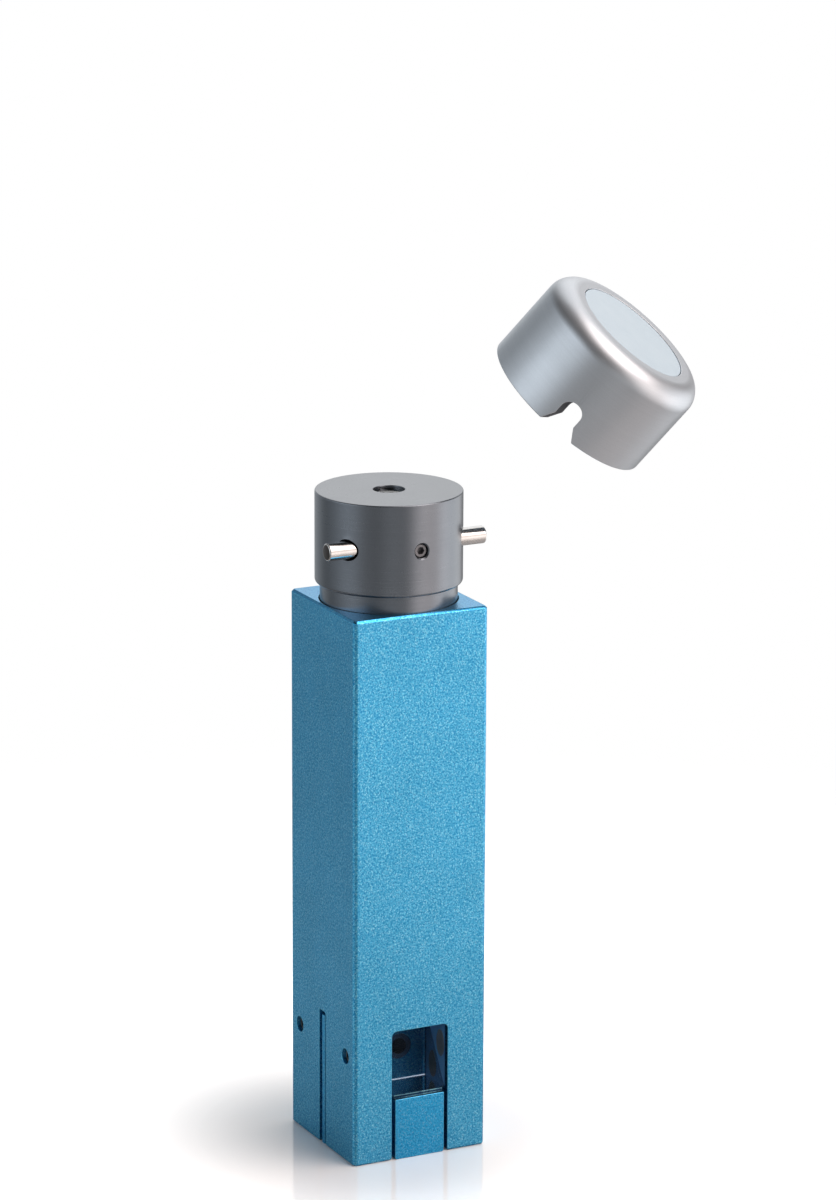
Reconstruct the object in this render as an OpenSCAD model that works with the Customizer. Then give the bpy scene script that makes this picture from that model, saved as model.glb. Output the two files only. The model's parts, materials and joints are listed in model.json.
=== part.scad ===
// Fibre-optic micro-volume cuvette with a mirror cap.
//
// A square anodised body with the footprint of a standard cuvette stands on
// its base. Light enters the front window, a prism turns it up into a fibre,
// and it leaves through the sample well in the round head. The mirror in the
// cap sends it back down a second fibre to the rear prism and window.
//
// The origin is the centre of the base. +Z runs up the body's axis, the
// windows face -Y and +Y, and the cross pin runs along X. All sizes are in
// millimetres.

/* [Body] */
// Width and depth of the square body
body_w = 12.5; // [12:0.1:16]
// Height of the square body
body_h = 48; // [46:0.1:70]
// Radius of the body's four upright edges
edge_r = 0.4; // [0.1:0.05:0.6]
// Chamfer on the edges of the body's top and base
edge_chamfer = 0.2; // [0.05:0.05:0.4]

/* [Windows] */
// Height of the light beam above the base
beam_z = 8.5; // [8.2:0.1:9.5]
// Width of the windows and of the channel below them
window_w = 5.3; // [5:0.1:6.5]
// Height of the windows
window_h = 6.15; // [6:0.05:7]
// Radius of the windows' top corners
window_r = 0.45; // [0.1:0.05:1]

/* [Prism holders] */
// Width of the tongue that fills the channel below each window
tongue_w = 4.65; // [4:0.05:4.9]
// Depth of the two grooves beside each tongue
groove_depth = 1.1; // [0.6:0.1:2]
// Gap between a holder and each side of the channel
holder_clear = 0.02; // [0.01:0.01:0.1]
// Depth of the ledge in front of each prism
ledge_depth = 0.35; // [0.2:0.05:0.8]
// Height of the step between the ledge and the sloping seat
seat_step = 0.15; // [0.1:0.05:0.5]

/* [Prisms] */
// Gap between a prism and each side of its channel
prism_side_gap = 0.1; // [0.06:0.02:0.4]
// Gap between a prism and the channel's ceiling
prism_top_gap = 0.05; // [0.03:0.01:0.5]
// Gap between a prism's cut-off back edge and the divider plate
prism_back_gap = 0.1; // [0.05:0.05:0.4]
// Bevel on the prisms' long edges
prism_bevel = 0.1; // [0.05:0.05:0.3]

/* [Divider plate] */
// Width of the upright slit through the sides
slit_w = 1.24; // [1:0.02:1.6]
// Height of the upright slit
slit_h = 12.1; // [11:0.1:13]
// Radius of the slit's top corners
slit_r = 0.2; // [0.05:0.05:0.4]
// Thickness of the divider plate
plate_t = 0.5; // [0.4:0.05:0.7]
// Depth of the plate's edges below the body's sides
plate_recess = 0.1; // [0.05:0.05:1]
// Gap between the top of the plate and the end of the slit
plate_gap = 0.4; // [0.1:0.1:1]

/* [Side set screws] */
// Distance of the side screws from the middle of the body
side_screw_y = 4.5; // [4.3:0.05:4.6]
// Height of the side screws above the base
side_screw_z = 9.45; // [9.2:0.05:9.8]
// Diameter of the side screws
side_screw_d = 1.3; // [1:0.1:1.6]
// Depth of the screws' outer ends below the body's sides
side_screw_recess = 0.35; // [0.1:0.05:1]
// Diameter of the thin pads between the side screws and the prisms
pad_d = 2.4; // [1.6:0.1:2.6]
// Gap between a pad and the channel's side
pad_clear = 0.02; // [0.01:0.01:0.05]
// Width of the hexagon sockets in the screws, across their corners
socket_d = 0.7; // [0.4:0.05:0.8]
// Depth of the hexagon sockets
socket_depth = 0.7; // [0.3:0.1:1]
// Gap between the thread of a screw and its hole
screw_clear = 0.02; // [0.01:0.01:0.05]

/* [Fibre chamber] */
// Width of the round seat between the recess in the body's top and the chamber
seal_seat_w = 1.4; // [1.2:0.05:1.65]
// Thickness of the web between the windows and the chamber
web_t = 2.6; // [2:0.05:5]
// Thinnest wall beside the round recess in the body's top
rim_wall = 0.35; // [0.2:0.05:0.5]
// Depth of the round recess in the body's top
recess_depth = 4; // [3:0.1:6]

/* [Head] */
// Diameter of the round head
head_d = 12.5; // [12:0.1:14]
// Height of the round head
head_h = 7.9; // [7.5:0.1:10]
// Height of the neck that shows between the body and the head
neck_h = 1.45; // [0.5:0.05:3]
// Gap between the neck and the recess in the body
neck_clear = 0.08; // [0.03:0.01:0.15]
// Chamfer on the head's lower edge
head_chamfer = 0.3; // [0.1:0.05:0.6]
// Chamfer on the head's upper edge
head_edge = 0.12; // [0.05:0.01:0.3]
// Length of the spigot below the neck
spigot_len = 4; // [2:0.5:8]
// Gap between the spigot and the chamber
spigot_clear = 0.02; // [0.01:0.01:0.1]
// Thickness of the seal under the neck
seal_t = 0.5; // [0.3:0.1:1]
// Diameter of the sample well in the head's top
well_d = 2.7; // [2:0.1:2.9]
// Depth of the sample well
well_depth = 0.25; // [0.2:0.05:1]

/* [Cross pin] */
// Diameter of the cross pin
pin_d = 1.5; // [1.2:0.05:1.7]
// Length of the cross pin
pin_len = 14.6; // [14.3:0.1:17]
// Depth of the pin's axis below the head's top
pin_drop = 4; // [3.5:0.05:4.5]
// Distance of the pin's axis from the head's axis
pin_offset = 3.1; // [2.8:0.02:3.7]
// Gap between the pin and its hole in the head
pin_clear = 0.01; // [0.01:0.005:0.05]
// Chamfer on the pin's ends
pin_chamfer = 0.12; // [0.05:0.01:0.3]
// Diameter of the wider mouths of the pin's hole
mouth_d = 1.85; // [1.75:0.05:2.2]
// Depth of the wider mouths
mouth_depth = 1.5; // [0.5:0.1:2.5]
// Diameter of the screw that locks the pin
lock_screw_d = 1.2; // [1:0.1:1.4]
// Depth of the lock screw's outer end below the head's side
lock_screw_recess = 0.3; // [0.1:0.05:0.6]
// Depth of the lock screw's hexagon socket
lock_socket_depth = 0.5; // [0.2:0.1:0.8]
// Chamfer round the lock screw's hole
lock_chamfer = 0.12; // [0.05:0.01:0.2]

/* [Fibre train] */
// Diameter of the bore for the tip ferrule
tip_bore_d = 3.2; // [3:0.1:4]
// Gap between a ferrule or a fibre and its bore
fibre_clear = 0.02; // [0.01:0.01:0.05]
// Thickness of the quartz tip window
tip_window_t = 0.6; // [0.3:0.1:1]
// Diameter of the fibre bundle in the tip ferrule
bundle_d = 1.8; // [1:0.1:2.2]
// Length of ferrule that stands out below the spigot
ferrule_out = 1.5; // [1:0.1:3]
// Diameter of the junction sleeve
sleeve_d = 5; // [4.4:0.1:7]
// Length of the junction sleeve
sleeve_len = 7.5; // [5:0.5:9]
// Diameter of each fibre leg
leg_d = 1.4; // [0.8:0.1:1.5]
// Gap between the two legs where they leave the sleeve
leg_gap = 0.3; // [0.2:0.05:0.5]
// Bend radius of the legs
bend_r = 8; // [6:0.5:9]
// Diameter of each leg ferrule's stem
stem_d = 2.2; // [2:0.1:2.5]
// Diameter of each leg ferrule's flange
flange_d = 2.9; // [2.6:0.1:2.9]
// Length of each leg ferrule's flange
flange_len = 3; // [1:0.5:5]
// Gap between a fibre's lower end and its prism
tip_gap = 0.1; // [0.05:0.05:0.3]

/* [Cap] */
// Outer diameter of the cap
cap_d = 15.45; // [15.2:0.05:18]
// Height of the cap
cap_h = 8.6; // [8.5:0.05:11]
// Radius of the cap's shoulder
cap_shoulder_r = 1.8; // [0.5:0.1:2.2]
// Gap between the cap's bore and the head
cap_clear = 0.1; // [0.05:0.01:0.25]
// Chamfer on the cap's rim
rim_chamfer = 0.1; // [0.05:0.01:0.2]
// Gap between the cap's notches and each side of the pin
notch_clear = 0.15; // [0.05:0.01:0.2]
// Height of the seated pin's axis above the cap's rim
notch_z = 2.05; // [1.8:0.05:2.6]
// Width of the notches' lead-in at the rim
lead_in_w = 3.05; // [2.2:0.05:4]
// Height of the notches' lead-in
lead_in_h = 1.2; // [0.5:0.05:1.3]
// Diameter of the disc in the cap's top
disc_d = 10.5; // [8:0.1:11]
// Depth of the disc's recess
disc_recess = 0.4; // [0.2:0.05:0.8]
// Thickness of the disc
disc_t = 0.35; // [0.2:0.05:0.4]
// Gap round the disc
disc_clear = 0.06; // [0.02:0.01:0.1]
// Diameter of the cap's mirror
mirror_d = 6; // [4:0.1:8]
// Thickness of the mirror
mirror_t = 0.8; // [0.5:0.1:1]
// Thickness of the spacer ring that sets the light path
path_t = 0.2; // [0.1:0.05:0.5]
// Width of the spacer ring
path_ring_w = 0.8; // [0.4:0.1:1.2]
// Gap round the mirror and its spacer ring
mirror_clear = 0.02; // [0.01:0.01:0.1]

/* [Cap taken off] */
// Place of the rim's centre along X
cap_x = 14.83; // [14:0.01:40]
// Place of the rim's centre along Y
cap_y = -3.82; // [-10:0.01:10]
// Place of the rim's centre along Z
cap_z = 63.86; // [61:0.01:90]
// Angle of the cap's axis from upright
cap_tilt = 40.3; // [0:0.1:60]
// Direction that the cap's axis leans to
cap_lean = -40.5; // [-90:0.5:90]
// Turn of the cap about its own axis
cap_spin = 71.6; // [0:0.1:180]

/* [Hidden] */
$fn = 96;
eps = 0.5; // how far a cut runs past the face it opens

body_side = body_w / 2;
sill_z = beam_z - window_h / 2;
window_top = sill_z + window_h;
web_top = window_top + web_t;
recess_floor = body_h - recess_depth;
recess_d = body_w - 2 * rim_wall;
chamber_d = recess_d - 2 * seal_seat_w;

prism_front = -body_side + ledge_depth;
prism_base = sill_z + seat_step;
prism_top = window_top - prism_top_gap;
prism_back = -plate_t / 2 - prism_back_gap;
prism_w = window_w - 2 * prism_side_gap;
pad_t = prism_side_gap - pad_clear;
leg_y = -(prism_front + beam_z - prism_base);

head_base = body_h + neck_h;
head_top = head_base + head_h;
neck_d = recess_d - 2 * neck_clear;
neck_base = recess_floor + seal_t;
spigot_d = chamber_d - 2 * spigot_clear;
spigot_base = neck_base - spigot_len;
well_floor = head_top - well_depth;

pin_z = head_top - pin_drop;
pin_hole_d = pin_d + 2 * pin_clear;
pin_exit_x = sqrt(pow(head_d / 2, 2) - pow(pin_offset, 2));

ferrule_d = tip_bore_d - 2 * fibre_clear;
ferrule_top = well_floor - tip_window_t;
ferrule_base = spigot_base - ferrule_out;
bundle_bore_d = bundle_d + 2 * fibre_clear;

sleeve_base = spigot_base - sleeve_len;
split_y = (leg_d + leg_gap) / 2;
leg_bore_d = leg_d + 2 * fibre_clear;
bend_angle = acos(1 - (leg_y - split_y) / (2 * bend_r));
bend_top = sleeve_base - leg_gap;
bend_base = bend_top - 2 * bend_r * sin(bend_angle);
bend_steps = 6; // rings along each arc of a leg
leg_sides = 16;
leg_base = prism_top + tip_gap;

cap_bore_d = head_d + 2 * cap_clear;
cap_bore_depth = pin_drop + notch_z;
notch_w = pin_d + 2 * notch_clear;
mirror_pocket_d = mirror_d + 2 * mirror_clear;

body_blue = [0.27, 0.55, 0.70];
head_grey = [0.42, 0.43, 0.45];
cap_silver = [0.63, 0.65, 0.68];
steel = [0.75, 0.73, 0.70];
dark_steel = [0.25, 0.25, 0.26];
quartz = [0.75, 0.85, 0.92, 0.6];
fibre_black = [0.08, 0.08, 0.09];
pad_white = [0.85, 0.85, 0.82];
disc_white = [0.84, 0.89, 0.92];

// ---- shapes used by several pieces ----

// Puts a cross-section, drawn with Y to the right and Z up, across X.
module across_x(width) {
    rotate([90, 0, 90])
        linear_extrude(width, center = true)
            children();
}

// A square with round corners, centred.
module rounded_square(width, radius) {
    inner = width - 2 * radius;
    square([inner, width], center = true);
    square([width, inner], center = true);
    for (x = [-inner / 2, inner / 2], y = [-inner / 2, inner / 2])
        translate([x, y])
            circle(radius);
}

// The body's outline seen from a side, with chamfered corners.
module side_outline() {
    c = edge_chamfer;
    polygon([
        [-body_side + c, 0], [body_side - c, 0], [body_side, c],
        [body_side, body_h - c], [body_side - c, body_h],
        [-body_side + c, body_h], [-body_side, body_h - c], [-body_side, c]
    ]);
}

// The outline of an upright channel that is open below, with round top corners.
module channel_outline(width, top, radius) {
    flat = width - 2 * radius;
    translate([-width / 2, -eps])
        square([width, top - radius + eps]);
    translate([-flat / 2, -eps])
        square([flat, top + eps]);
    for (x = [-flat / 2, flat / 2])
        translate([x, top - radius])
            circle(radius);
}

// A headless screw that lies along +X with its socket at the far end.
module set_screw(diameter, length, depth) {
    rotate([0, 90, 0])
        difference() {
            cylinder(d = diameter, h = length);
            translate([0, 0, length - depth])
                cylinder(d = socket_d, h = depth + eps, $fn = 6);
        }
}

// A disc or a tube that stands on a given height.
module tube(outer_d, inner_d, base, top) {
    difference() {
        translate([0, 0, base])
            cylinder(d = outer_d, h = top - base);
        translate([0, 0, base - eps])
            cylinder(d = inner_d, h = top - base + 2 * eps);
    }
}

// Puts its children at the four side screws' places, pointing outwards.
module at_side_screws() {
    for (side = [0, 1], y = [-side_screw_y, side_screw_y])
        mirror([side, 0, 0])
            translate([0, y, side_screw_z])
                children();
}

// Puts the cap's pieces where the cap is held, beside and above the head.
module cap_place() {
    translate([cap_x, cap_y, cap_z])
        rotate([0, 0, cap_lean])
            rotate([0, cap_tilt, 0])
                rotate([0, 0, cap_spin])
                    children();
}

// ---- body ----

module body_block() {
    intersection() {
        linear_extrude(body_h)
            rounded_square(body_w, edge_r);
        across_x(body_w)
            side_outline();
        rotate([0, 0, 90])
            across_x(body_w)
                side_outline();
    }
}

module window_channel() {
    rotate([90, 0, 0])
        linear_extrude(body_w + 2 * eps, center = true)
            channel_outline(window_w, window_top, window_r);
}

module side_slit() {
    across_x(body_w + 2 * eps)
        channel_outline(slit_w, slit_h, slit_r);
}

module chamber() {
    translate([0, 0, web_top])
        cylinder(d = chamber_d, h = body_h - web_top);
    translate([0, 0, recess_floor])
        cylinder(d = recess_d, h = recess_depth + eps);
    for (y = [-leg_y, leg_y])
        translate([0, y, window_top - eps])
            cylinder(d = stem_d + 2 * fibre_clear, h = web_t + 2 * eps);
}

module side_screw_holes() {
    at_side_screws()
        rotate([0, 90, 0])
            cylinder(d = side_screw_d + 2 * screw_clear, h = body_side + eps);
}

module body() {
    color(body_blue)
        difference() {
            body_block();
            window_channel();
            side_slit();
            chamber();
            side_screw_holes();
        }
}

// ---- optics below the web ----

// Cross-section of a holder: the tongue, its ledge and the 45 degree seat.
module holder_outline() {
    back = -plate_t / 2;
    polygon([
        [-body_side, 0], [-body_side, sill_z], [prism_front, sill_z],
        [prism_front, prism_base], [back, prism_base + back - prism_front],
        [back, 0]
    ]);
}

module prism_holder() {
    color(body_blue) {
        across_x(tongue_w)
            holder_outline();
        intersection() {
            across_x(window_w - 2 * holder_clear)
                holder_outline();
            translate([-body_side, -body_side + groove_depth, 0])
                cube([body_w, body_side, window_top]);
        }
    }
}

module prism() {
    b = prism_bevel;
    color(quartz)
        across_x(prism_w)
            polygon([
                [prism_front, prism_base + b], [prism_front + b, prism_base + b],
                [prism_back, prism_base + prism_back - prism_front],
                [prism_back, prism_top],
                [prism_front + b, prism_top], [prism_front, prism_top - b]
            ]);
}

module front_prism_holder() {
    prism_holder();
}

module rear_prism_holder() {
    mirror([0, 1, 0])
        prism_holder();
}

module front_prism() {
    prism();
}

module rear_prism() {
    mirror([0, 1, 0])
        prism();
}

module divider_plate() {
    width = body_w - 2 * plate_recess;
    color(body_blue)
        translate([-width / 2, -plate_t / 2, 0])
            cube([width, plate_t, slit_h - plate_gap]);
}

module side_set_screws() {
    inner_end = prism_w / 2 + pad_t;
    color(dark_steel)
        at_side_screws()
            translate([inner_end, 0, 0])
                set_screw(side_screw_d, body_side - side_screw_recess - inner_end, socket_depth);
}

module clamp_pads() {
    color(pad_white)
        at_side_screws()
            translate([prism_w / 2, 0, 0])
                rotate([0, 90, 0])
                    cylinder(d = pad_d, h = pad_t);
}

// ---- head ----

module head_turning() {
    r = head_d / 2;
    rotate_extrude()
        polygon([
            [tip_bore_d / 2, spigot_base], [spigot_d / 2, spigot_base],
            [spigot_d / 2, neck_base], [neck_d / 2, neck_base],
            [neck_d / 2, head_base], [r - head_chamfer, head_base],
            [r, head_base + head_chamfer], [r, head_top - head_edge],
            [r - head_edge, head_top], [well_d / 2, head_top],
            [well_d / 2, well_floor], [tip_bore_d / 2, well_floor]
        ]);
}

module pin_hole() {
    translate([0, -pin_offset, pin_z])
        rotate([0, 90, 0]) {
            cylinder(d = pin_hole_d, h = head_d, center = true);
            for (side = [0, 1])
                mirror([0, 0, side])
                    translate([0, 0, pin_exit_x - mouth_depth])
                        cylinder(d = mouth_d, h = head_d);
        }
}

module lock_screw_hole() {
    hole_d = lock_screw_d + 2 * screw_clear;
    translate([0, 0, pin_z])
        rotate([90, 0, 0]) {
            translate([0, 0, pin_offset])
                cylinder(d = hole_d, h = head_d / 2);
            translate([0, 0, head_d / 2 - lock_chamfer])
                cylinder(d1 = hole_d, d2 = hole_d + 4 * lock_chamfer, h = 2 * lock_chamfer);
        }
}

module head() {
    color(head_grey)
        difference() {
            head_turning();
            pin_hole();
            lock_screw_hole();
        }
}

module neck_seal() {
    color(fibre_black)
        tube(neck_d, chamber_d, recess_floor, neck_base);
}

module cross_pin() {
    r = pin_d / 2;
    half = pin_len / 2;
    color(steel)
        translate([0, -pin_offset, pin_z])
            rotate([0, 90, 0])
                rotate_extrude()
                    polygon([
                        [0, -half], [r - pin_chamfer, -half], [r, -half + pin_chamfer],
                        [r, half - pin_chamfer], [r - pin_chamfer, half], [0, half]
                    ]);
}

module pin_lock_screw() {
    inner_end = pin_offset + pin_d / 2;
    color(dark_steel)
        translate([0, 0, pin_z])
            rotate([0, 0, -90])
                translate([inner_end, 0, 0])
                    set_screw(
                        lock_screw_d, head_d / 2 - lock_screw_recess - inner_end, lock_socket_depth
                    );
}

// ---- fibre train ----

module tip_window() {
    color(quartz)
        translate([0, 0, ferrule_top])
            cylinder(d = ferrule_d, h = tip_window_t);
}

module tip_ferrule() {
    color(steel)
        tube(ferrule_d, bundle_bore_d, ferrule_base, ferrule_top);
}

module tip_bundle() {
    color(fibre_black)
        translate([0, 0, ferrule_base])
            cylinder(d = bundle_d, h = ferrule_top - ferrule_base);
}

module junction_sleeve() {
    color(steel)
        difference() {
            translate([0, 0, sleeve_base])
                cylinder(d = sleeve_d, h = sleeve_len);
            translate([0, 0, ferrule_base])
                cylinder(d = tip_bore_d, h = ferrule_out + eps);
            for (y = [-split_y, split_y])
                translate([0, y, sleeve_base - eps])
                    cylinder(d = leg_bore_d, h = sleeve_len);
        }
}

// A leg's rings from top to bottom, each as [y, z, lean of the path]. Two arcs
// of bend_r carry it sideways from the sleeve to its place over the prism.
function leg_rings() = concat(
    [[split_y, ferrule_base, 0]],
    [for (i = [0:bend_steps])
        let (a = bend_angle * i / bend_steps)
            [split_y + bend_r * (1 - cos(a)), bend_top - bend_r * sin(a), a]],
    [for (i = [bend_steps - 1:-1:0])
        let (a = bend_angle * i / bend_steps)
            [leg_y - bend_r * (1 - cos(a)), bend_base + bend_r * sin(a), a]],
    [[leg_y, leg_base, 0]]
);

module fibre_leg() {
    rings = leg_rings();
    last = len(rings) - 1;
    r = leg_d / 2;
    points = [for (ring = rings, k = [0:leg_sides - 1])
        let (t = 360 * k / leg_sides)
            [
                r * cos(t),
                ring[0] + r * sin(t) * cos(ring[2]),
                ring[1] + r * sin(t) * sin(ring[2])
            ]];
    walls = [for (i = [0:last - 1], k = [0:leg_sides - 1])
        let (next = (k + 1) % leg_sides, upper = i * leg_sides, lower = upper + leg_sides)
            [upper + k, upper + next, lower + next, lower + k]];
    top = [[for (k = [leg_sides - 1:-1:0]) k]];
    base = [[for (k = [0:leg_sides - 1]) last * leg_sides + k]];
    color(fibre_black)
        polyhedron(points, concat(walls, top, base));
}

module leg_ferrule() {
    color(steel)
        translate([0, leg_y, 0]) {
            tube(stem_d, leg_bore_d, leg_base, web_top);
            tube(flange_d, leg_bore_d, web_top, web_top + flange_len);
        }
}

module front_fibre_leg() {
    mirror([0, 1, 0])
        fibre_leg();
}

module rear_fibre_leg() {
    fibre_leg();
}

module front_leg_ferrule() {
    mirror([0, 1, 0])
        leg_ferrule();
}

module rear_leg_ferrule() {
    leg_ferrule();
}

// ---- cap ----

module cap_section() {
    r = cap_d / 2;
    shoulder = r - cap_shoulder_r;
    difference() {
        union() {
            polygon([
                [0, 0], [r - rim_chamfer, 0], [r, rim_chamfer],
                [r, cap_h - cap_shoulder_r], [0, cap_h - cap_shoulder_r]
            ]);
            square([shoulder, cap_h]);
            translate([shoulder, cap_h - cap_shoulder_r])
                circle(cap_shoulder_r);
        }
        translate([-r, -eps])
            square([r, cap_h + 2 * eps]);
        translate([0, -eps])
            square([cap_bore_d / 2, cap_bore_depth + eps]);
        square([mirror_pocket_d / 2, cap_bore_depth + path_t + mirror_t]);
        translate([0, cap_h - disc_recess])
            square([disc_d / 2, disc_recess + eps]);
    }
}

// The two notches that drop over the cross pin, cut right across the cap.
module pin_notches() {
    translate([0, -pin_offset, 0])
        across_x(cap_d + 2 * eps) {
            translate([0, notch_z])
                circle(d = notch_w);
            polygon([
                [-lead_in_w / 2, -eps], [lead_in_w / 2, -eps], [lead_in_w / 2, 0],
                [notch_w / 2, lead_in_h], [notch_w / 2, notch_z],
                [-notch_w / 2, notch_z], [-notch_w / 2, lead_in_h],
                [-lead_in_w / 2, 0]
            ]);
        }
}

module cap() {
    color(cap_silver)
        cap_place()
            difference() {
                rotate_extrude()
                    cap_section();
                pin_notches();
            }
}

module cap_disc() {
    color(disc_white)
        cap_place()
            translate([0, 0, cap_h - disc_recess])
                cylinder(d = disc_d - 2 * disc_clear, h = disc_t);
}

module cap_mirror() {
    color(steel)
        cap_place()
            translate([0, 0, cap_bore_depth + path_t])
                cylinder(d = mirror_d, h = mirror_t);
}

module path_ring() {
    color(steel)
        cap_place()
            tube(mirror_d, mirror_d - 2 * path_ring_w, cap_bore_depth, cap_bore_depth + path_t);
}

body();
front_prism_holder();
rear_prism_holder();
front_prism();
rear_prism();
divider_plate();
side_set_screws();
clamp_pads();
head();
neck_seal();
cross_pin();
pin_lock_screw();
tip_window();
tip_ferrule();
tip_bundle();
junction_sleeve();
front_fibre_leg();
rear_fibre_leg();
front_leg_ferrule();
rear_leg_ferrule();
cap();
cap_disc();
cap_mirror();
path_ring();
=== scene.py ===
"""Dresses the fibre-optic micro-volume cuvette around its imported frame.

Each sub-assembly is a class that holds its sizes in millimetres, builds its
meshes and gives them their finishes. A mesh is shaped in millimetres and is
published in metres, where the frame has it: the origin is the centre of the
base, +Z runs up the body and the windows face -Y and +Y.
"""
import json
import logging
import math
from collections.abc import Callable, Sequence
from dataclasses import dataclass
from enum import Enum

import bmesh
import bpy
from mathutils import Matrix, Vector


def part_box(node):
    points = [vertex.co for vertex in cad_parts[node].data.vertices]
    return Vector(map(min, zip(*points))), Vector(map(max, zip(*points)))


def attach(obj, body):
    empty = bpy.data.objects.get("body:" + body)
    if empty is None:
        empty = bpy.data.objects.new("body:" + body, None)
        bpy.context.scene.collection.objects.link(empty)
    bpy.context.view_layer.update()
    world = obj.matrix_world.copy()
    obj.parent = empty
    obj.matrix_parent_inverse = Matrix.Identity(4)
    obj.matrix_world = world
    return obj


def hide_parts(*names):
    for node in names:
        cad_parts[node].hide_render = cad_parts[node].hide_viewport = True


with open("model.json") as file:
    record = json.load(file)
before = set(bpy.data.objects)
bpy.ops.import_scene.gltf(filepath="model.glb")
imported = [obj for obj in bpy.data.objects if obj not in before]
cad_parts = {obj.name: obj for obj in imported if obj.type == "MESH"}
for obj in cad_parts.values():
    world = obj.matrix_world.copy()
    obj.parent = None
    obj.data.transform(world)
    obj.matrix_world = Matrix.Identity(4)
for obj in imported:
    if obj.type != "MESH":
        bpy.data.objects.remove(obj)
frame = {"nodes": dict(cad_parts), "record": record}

log = logging.getLogger("cuvette")

MM = 0.001
ROOT = "root"
TURN_STEPS = 160  # steps round a turned surface
HOLE_STEPS = 48  # steps round a drilled hole
HEXAGON = 6  # sides of a screw's socket
OVERRUN = 1.0  # how far a cutter runs past the face it opens
WELD = 0.0005  # points closer than this are one point
FLAT = math.radians(0.05)  # faces that lean less than this are made one
CREASE = math.radians(38)  # an edge sharper than this shows as an edge
SOFT_MIDDLE = 0.3  # where a rounding's middle lies, as a share of its reach
WALL_REACH = 0.004  # how near a point lies to a round wall that it belongs to
WALL_LEAN = 0.99  # how squarely a wall's face looks away from its axis
FACING = 0.5  # part of a normal along an axis above which a face looks that way
EDGE_MASK = "soft_edge"  # face attribute: 1 on the rounded edges
RECESS_DEPTH = 4.0  # of the head's seat in the body
SCREW_Y, SCREW_Z = 4.5, 9.45  # how far from the middle the side screws lie, and how high

Colour = tuple[float, float, float]
Outline = list[tuple[float, float]]
Picker = Callable[[Vector, Vector], int]  # a face's finish, from its normal and its middle
Socket = bpy.types.NodeSocket

WHITE: Colour = (1.0, 1.0, 1.0)
BLACK: Colour = (0.0, 0.0, 0.0)


def srgb(red: int, green: int, blue: int) -> Colour:
    """Turns a colour as it looks into linear light.

    Args:
        red: Red as seen on a screen, from 0 to 255.
        green: Green, likewise.
        blue: Blue, likewise.

    Returns:
        The same colour, with values from 0 to 1.
    """

    def linear(channel: int) -> float:
        """Takes the screen's curve off one channel."""
        share = channel / 255
        return share / 12.92 if share <= 0.04045 else ((share + 0.055) / 1.055) ** 2.4

    return linear(red), linear(green), linear(blue)


def arc(x: float, y: float, radius: float, start: float, end: float, steps: int) -> Outline:
    """Points along an arc about (x, y), from one angle in degrees to another."""
    angles = [math.radians(start + (end - start) * i / steps) for i in range(steps + 1)]
    return [(x + radius * math.cos(a), y + radius * math.sin(a)) for a in angles]


def at(x: float, y: float, z: float) -> Matrix:
    """A move."""
    return Matrix.Translation((x, y, z))


def turn(degrees: float, axis: str) -> Matrix:
    """A turn about an axis through the origin."""
    return Matrix.Rotation(math.radians(degrees), 4, axis)


def span(node: str) -> tuple[Vector, Vector]:
    """The lowest and the highest corner of a CAD node, in millimetres."""
    low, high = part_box(node)
    return low / MM, high / MM


def linked(name: str, data: bpy.types.ID) -> bpy.types.Object:
    """A new object that shows the data in the scene.

    Args:
        name: Name of the new object.
        data: The mesh or the camera that it shows.

    Returns:
        The object.
    """
    obj = bpy.data.objects.new(name, data)
    bpy.context.scene.collection.objects.link(obj)
    return obj


class Axis(Enum):
    """The direction that an outline is extruded in."""

    X = "x"
    Y = "y"
    Z = "z"

    def point(self, first: float, second: float, along: float) -> Vector:
        """Places an outline's point at a height along this axis."""
        places = {Axis.X: (along, first, second), Axis.Y: (first, along, second)}
        return Vector(places.get(self, (first, second, along)))


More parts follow.
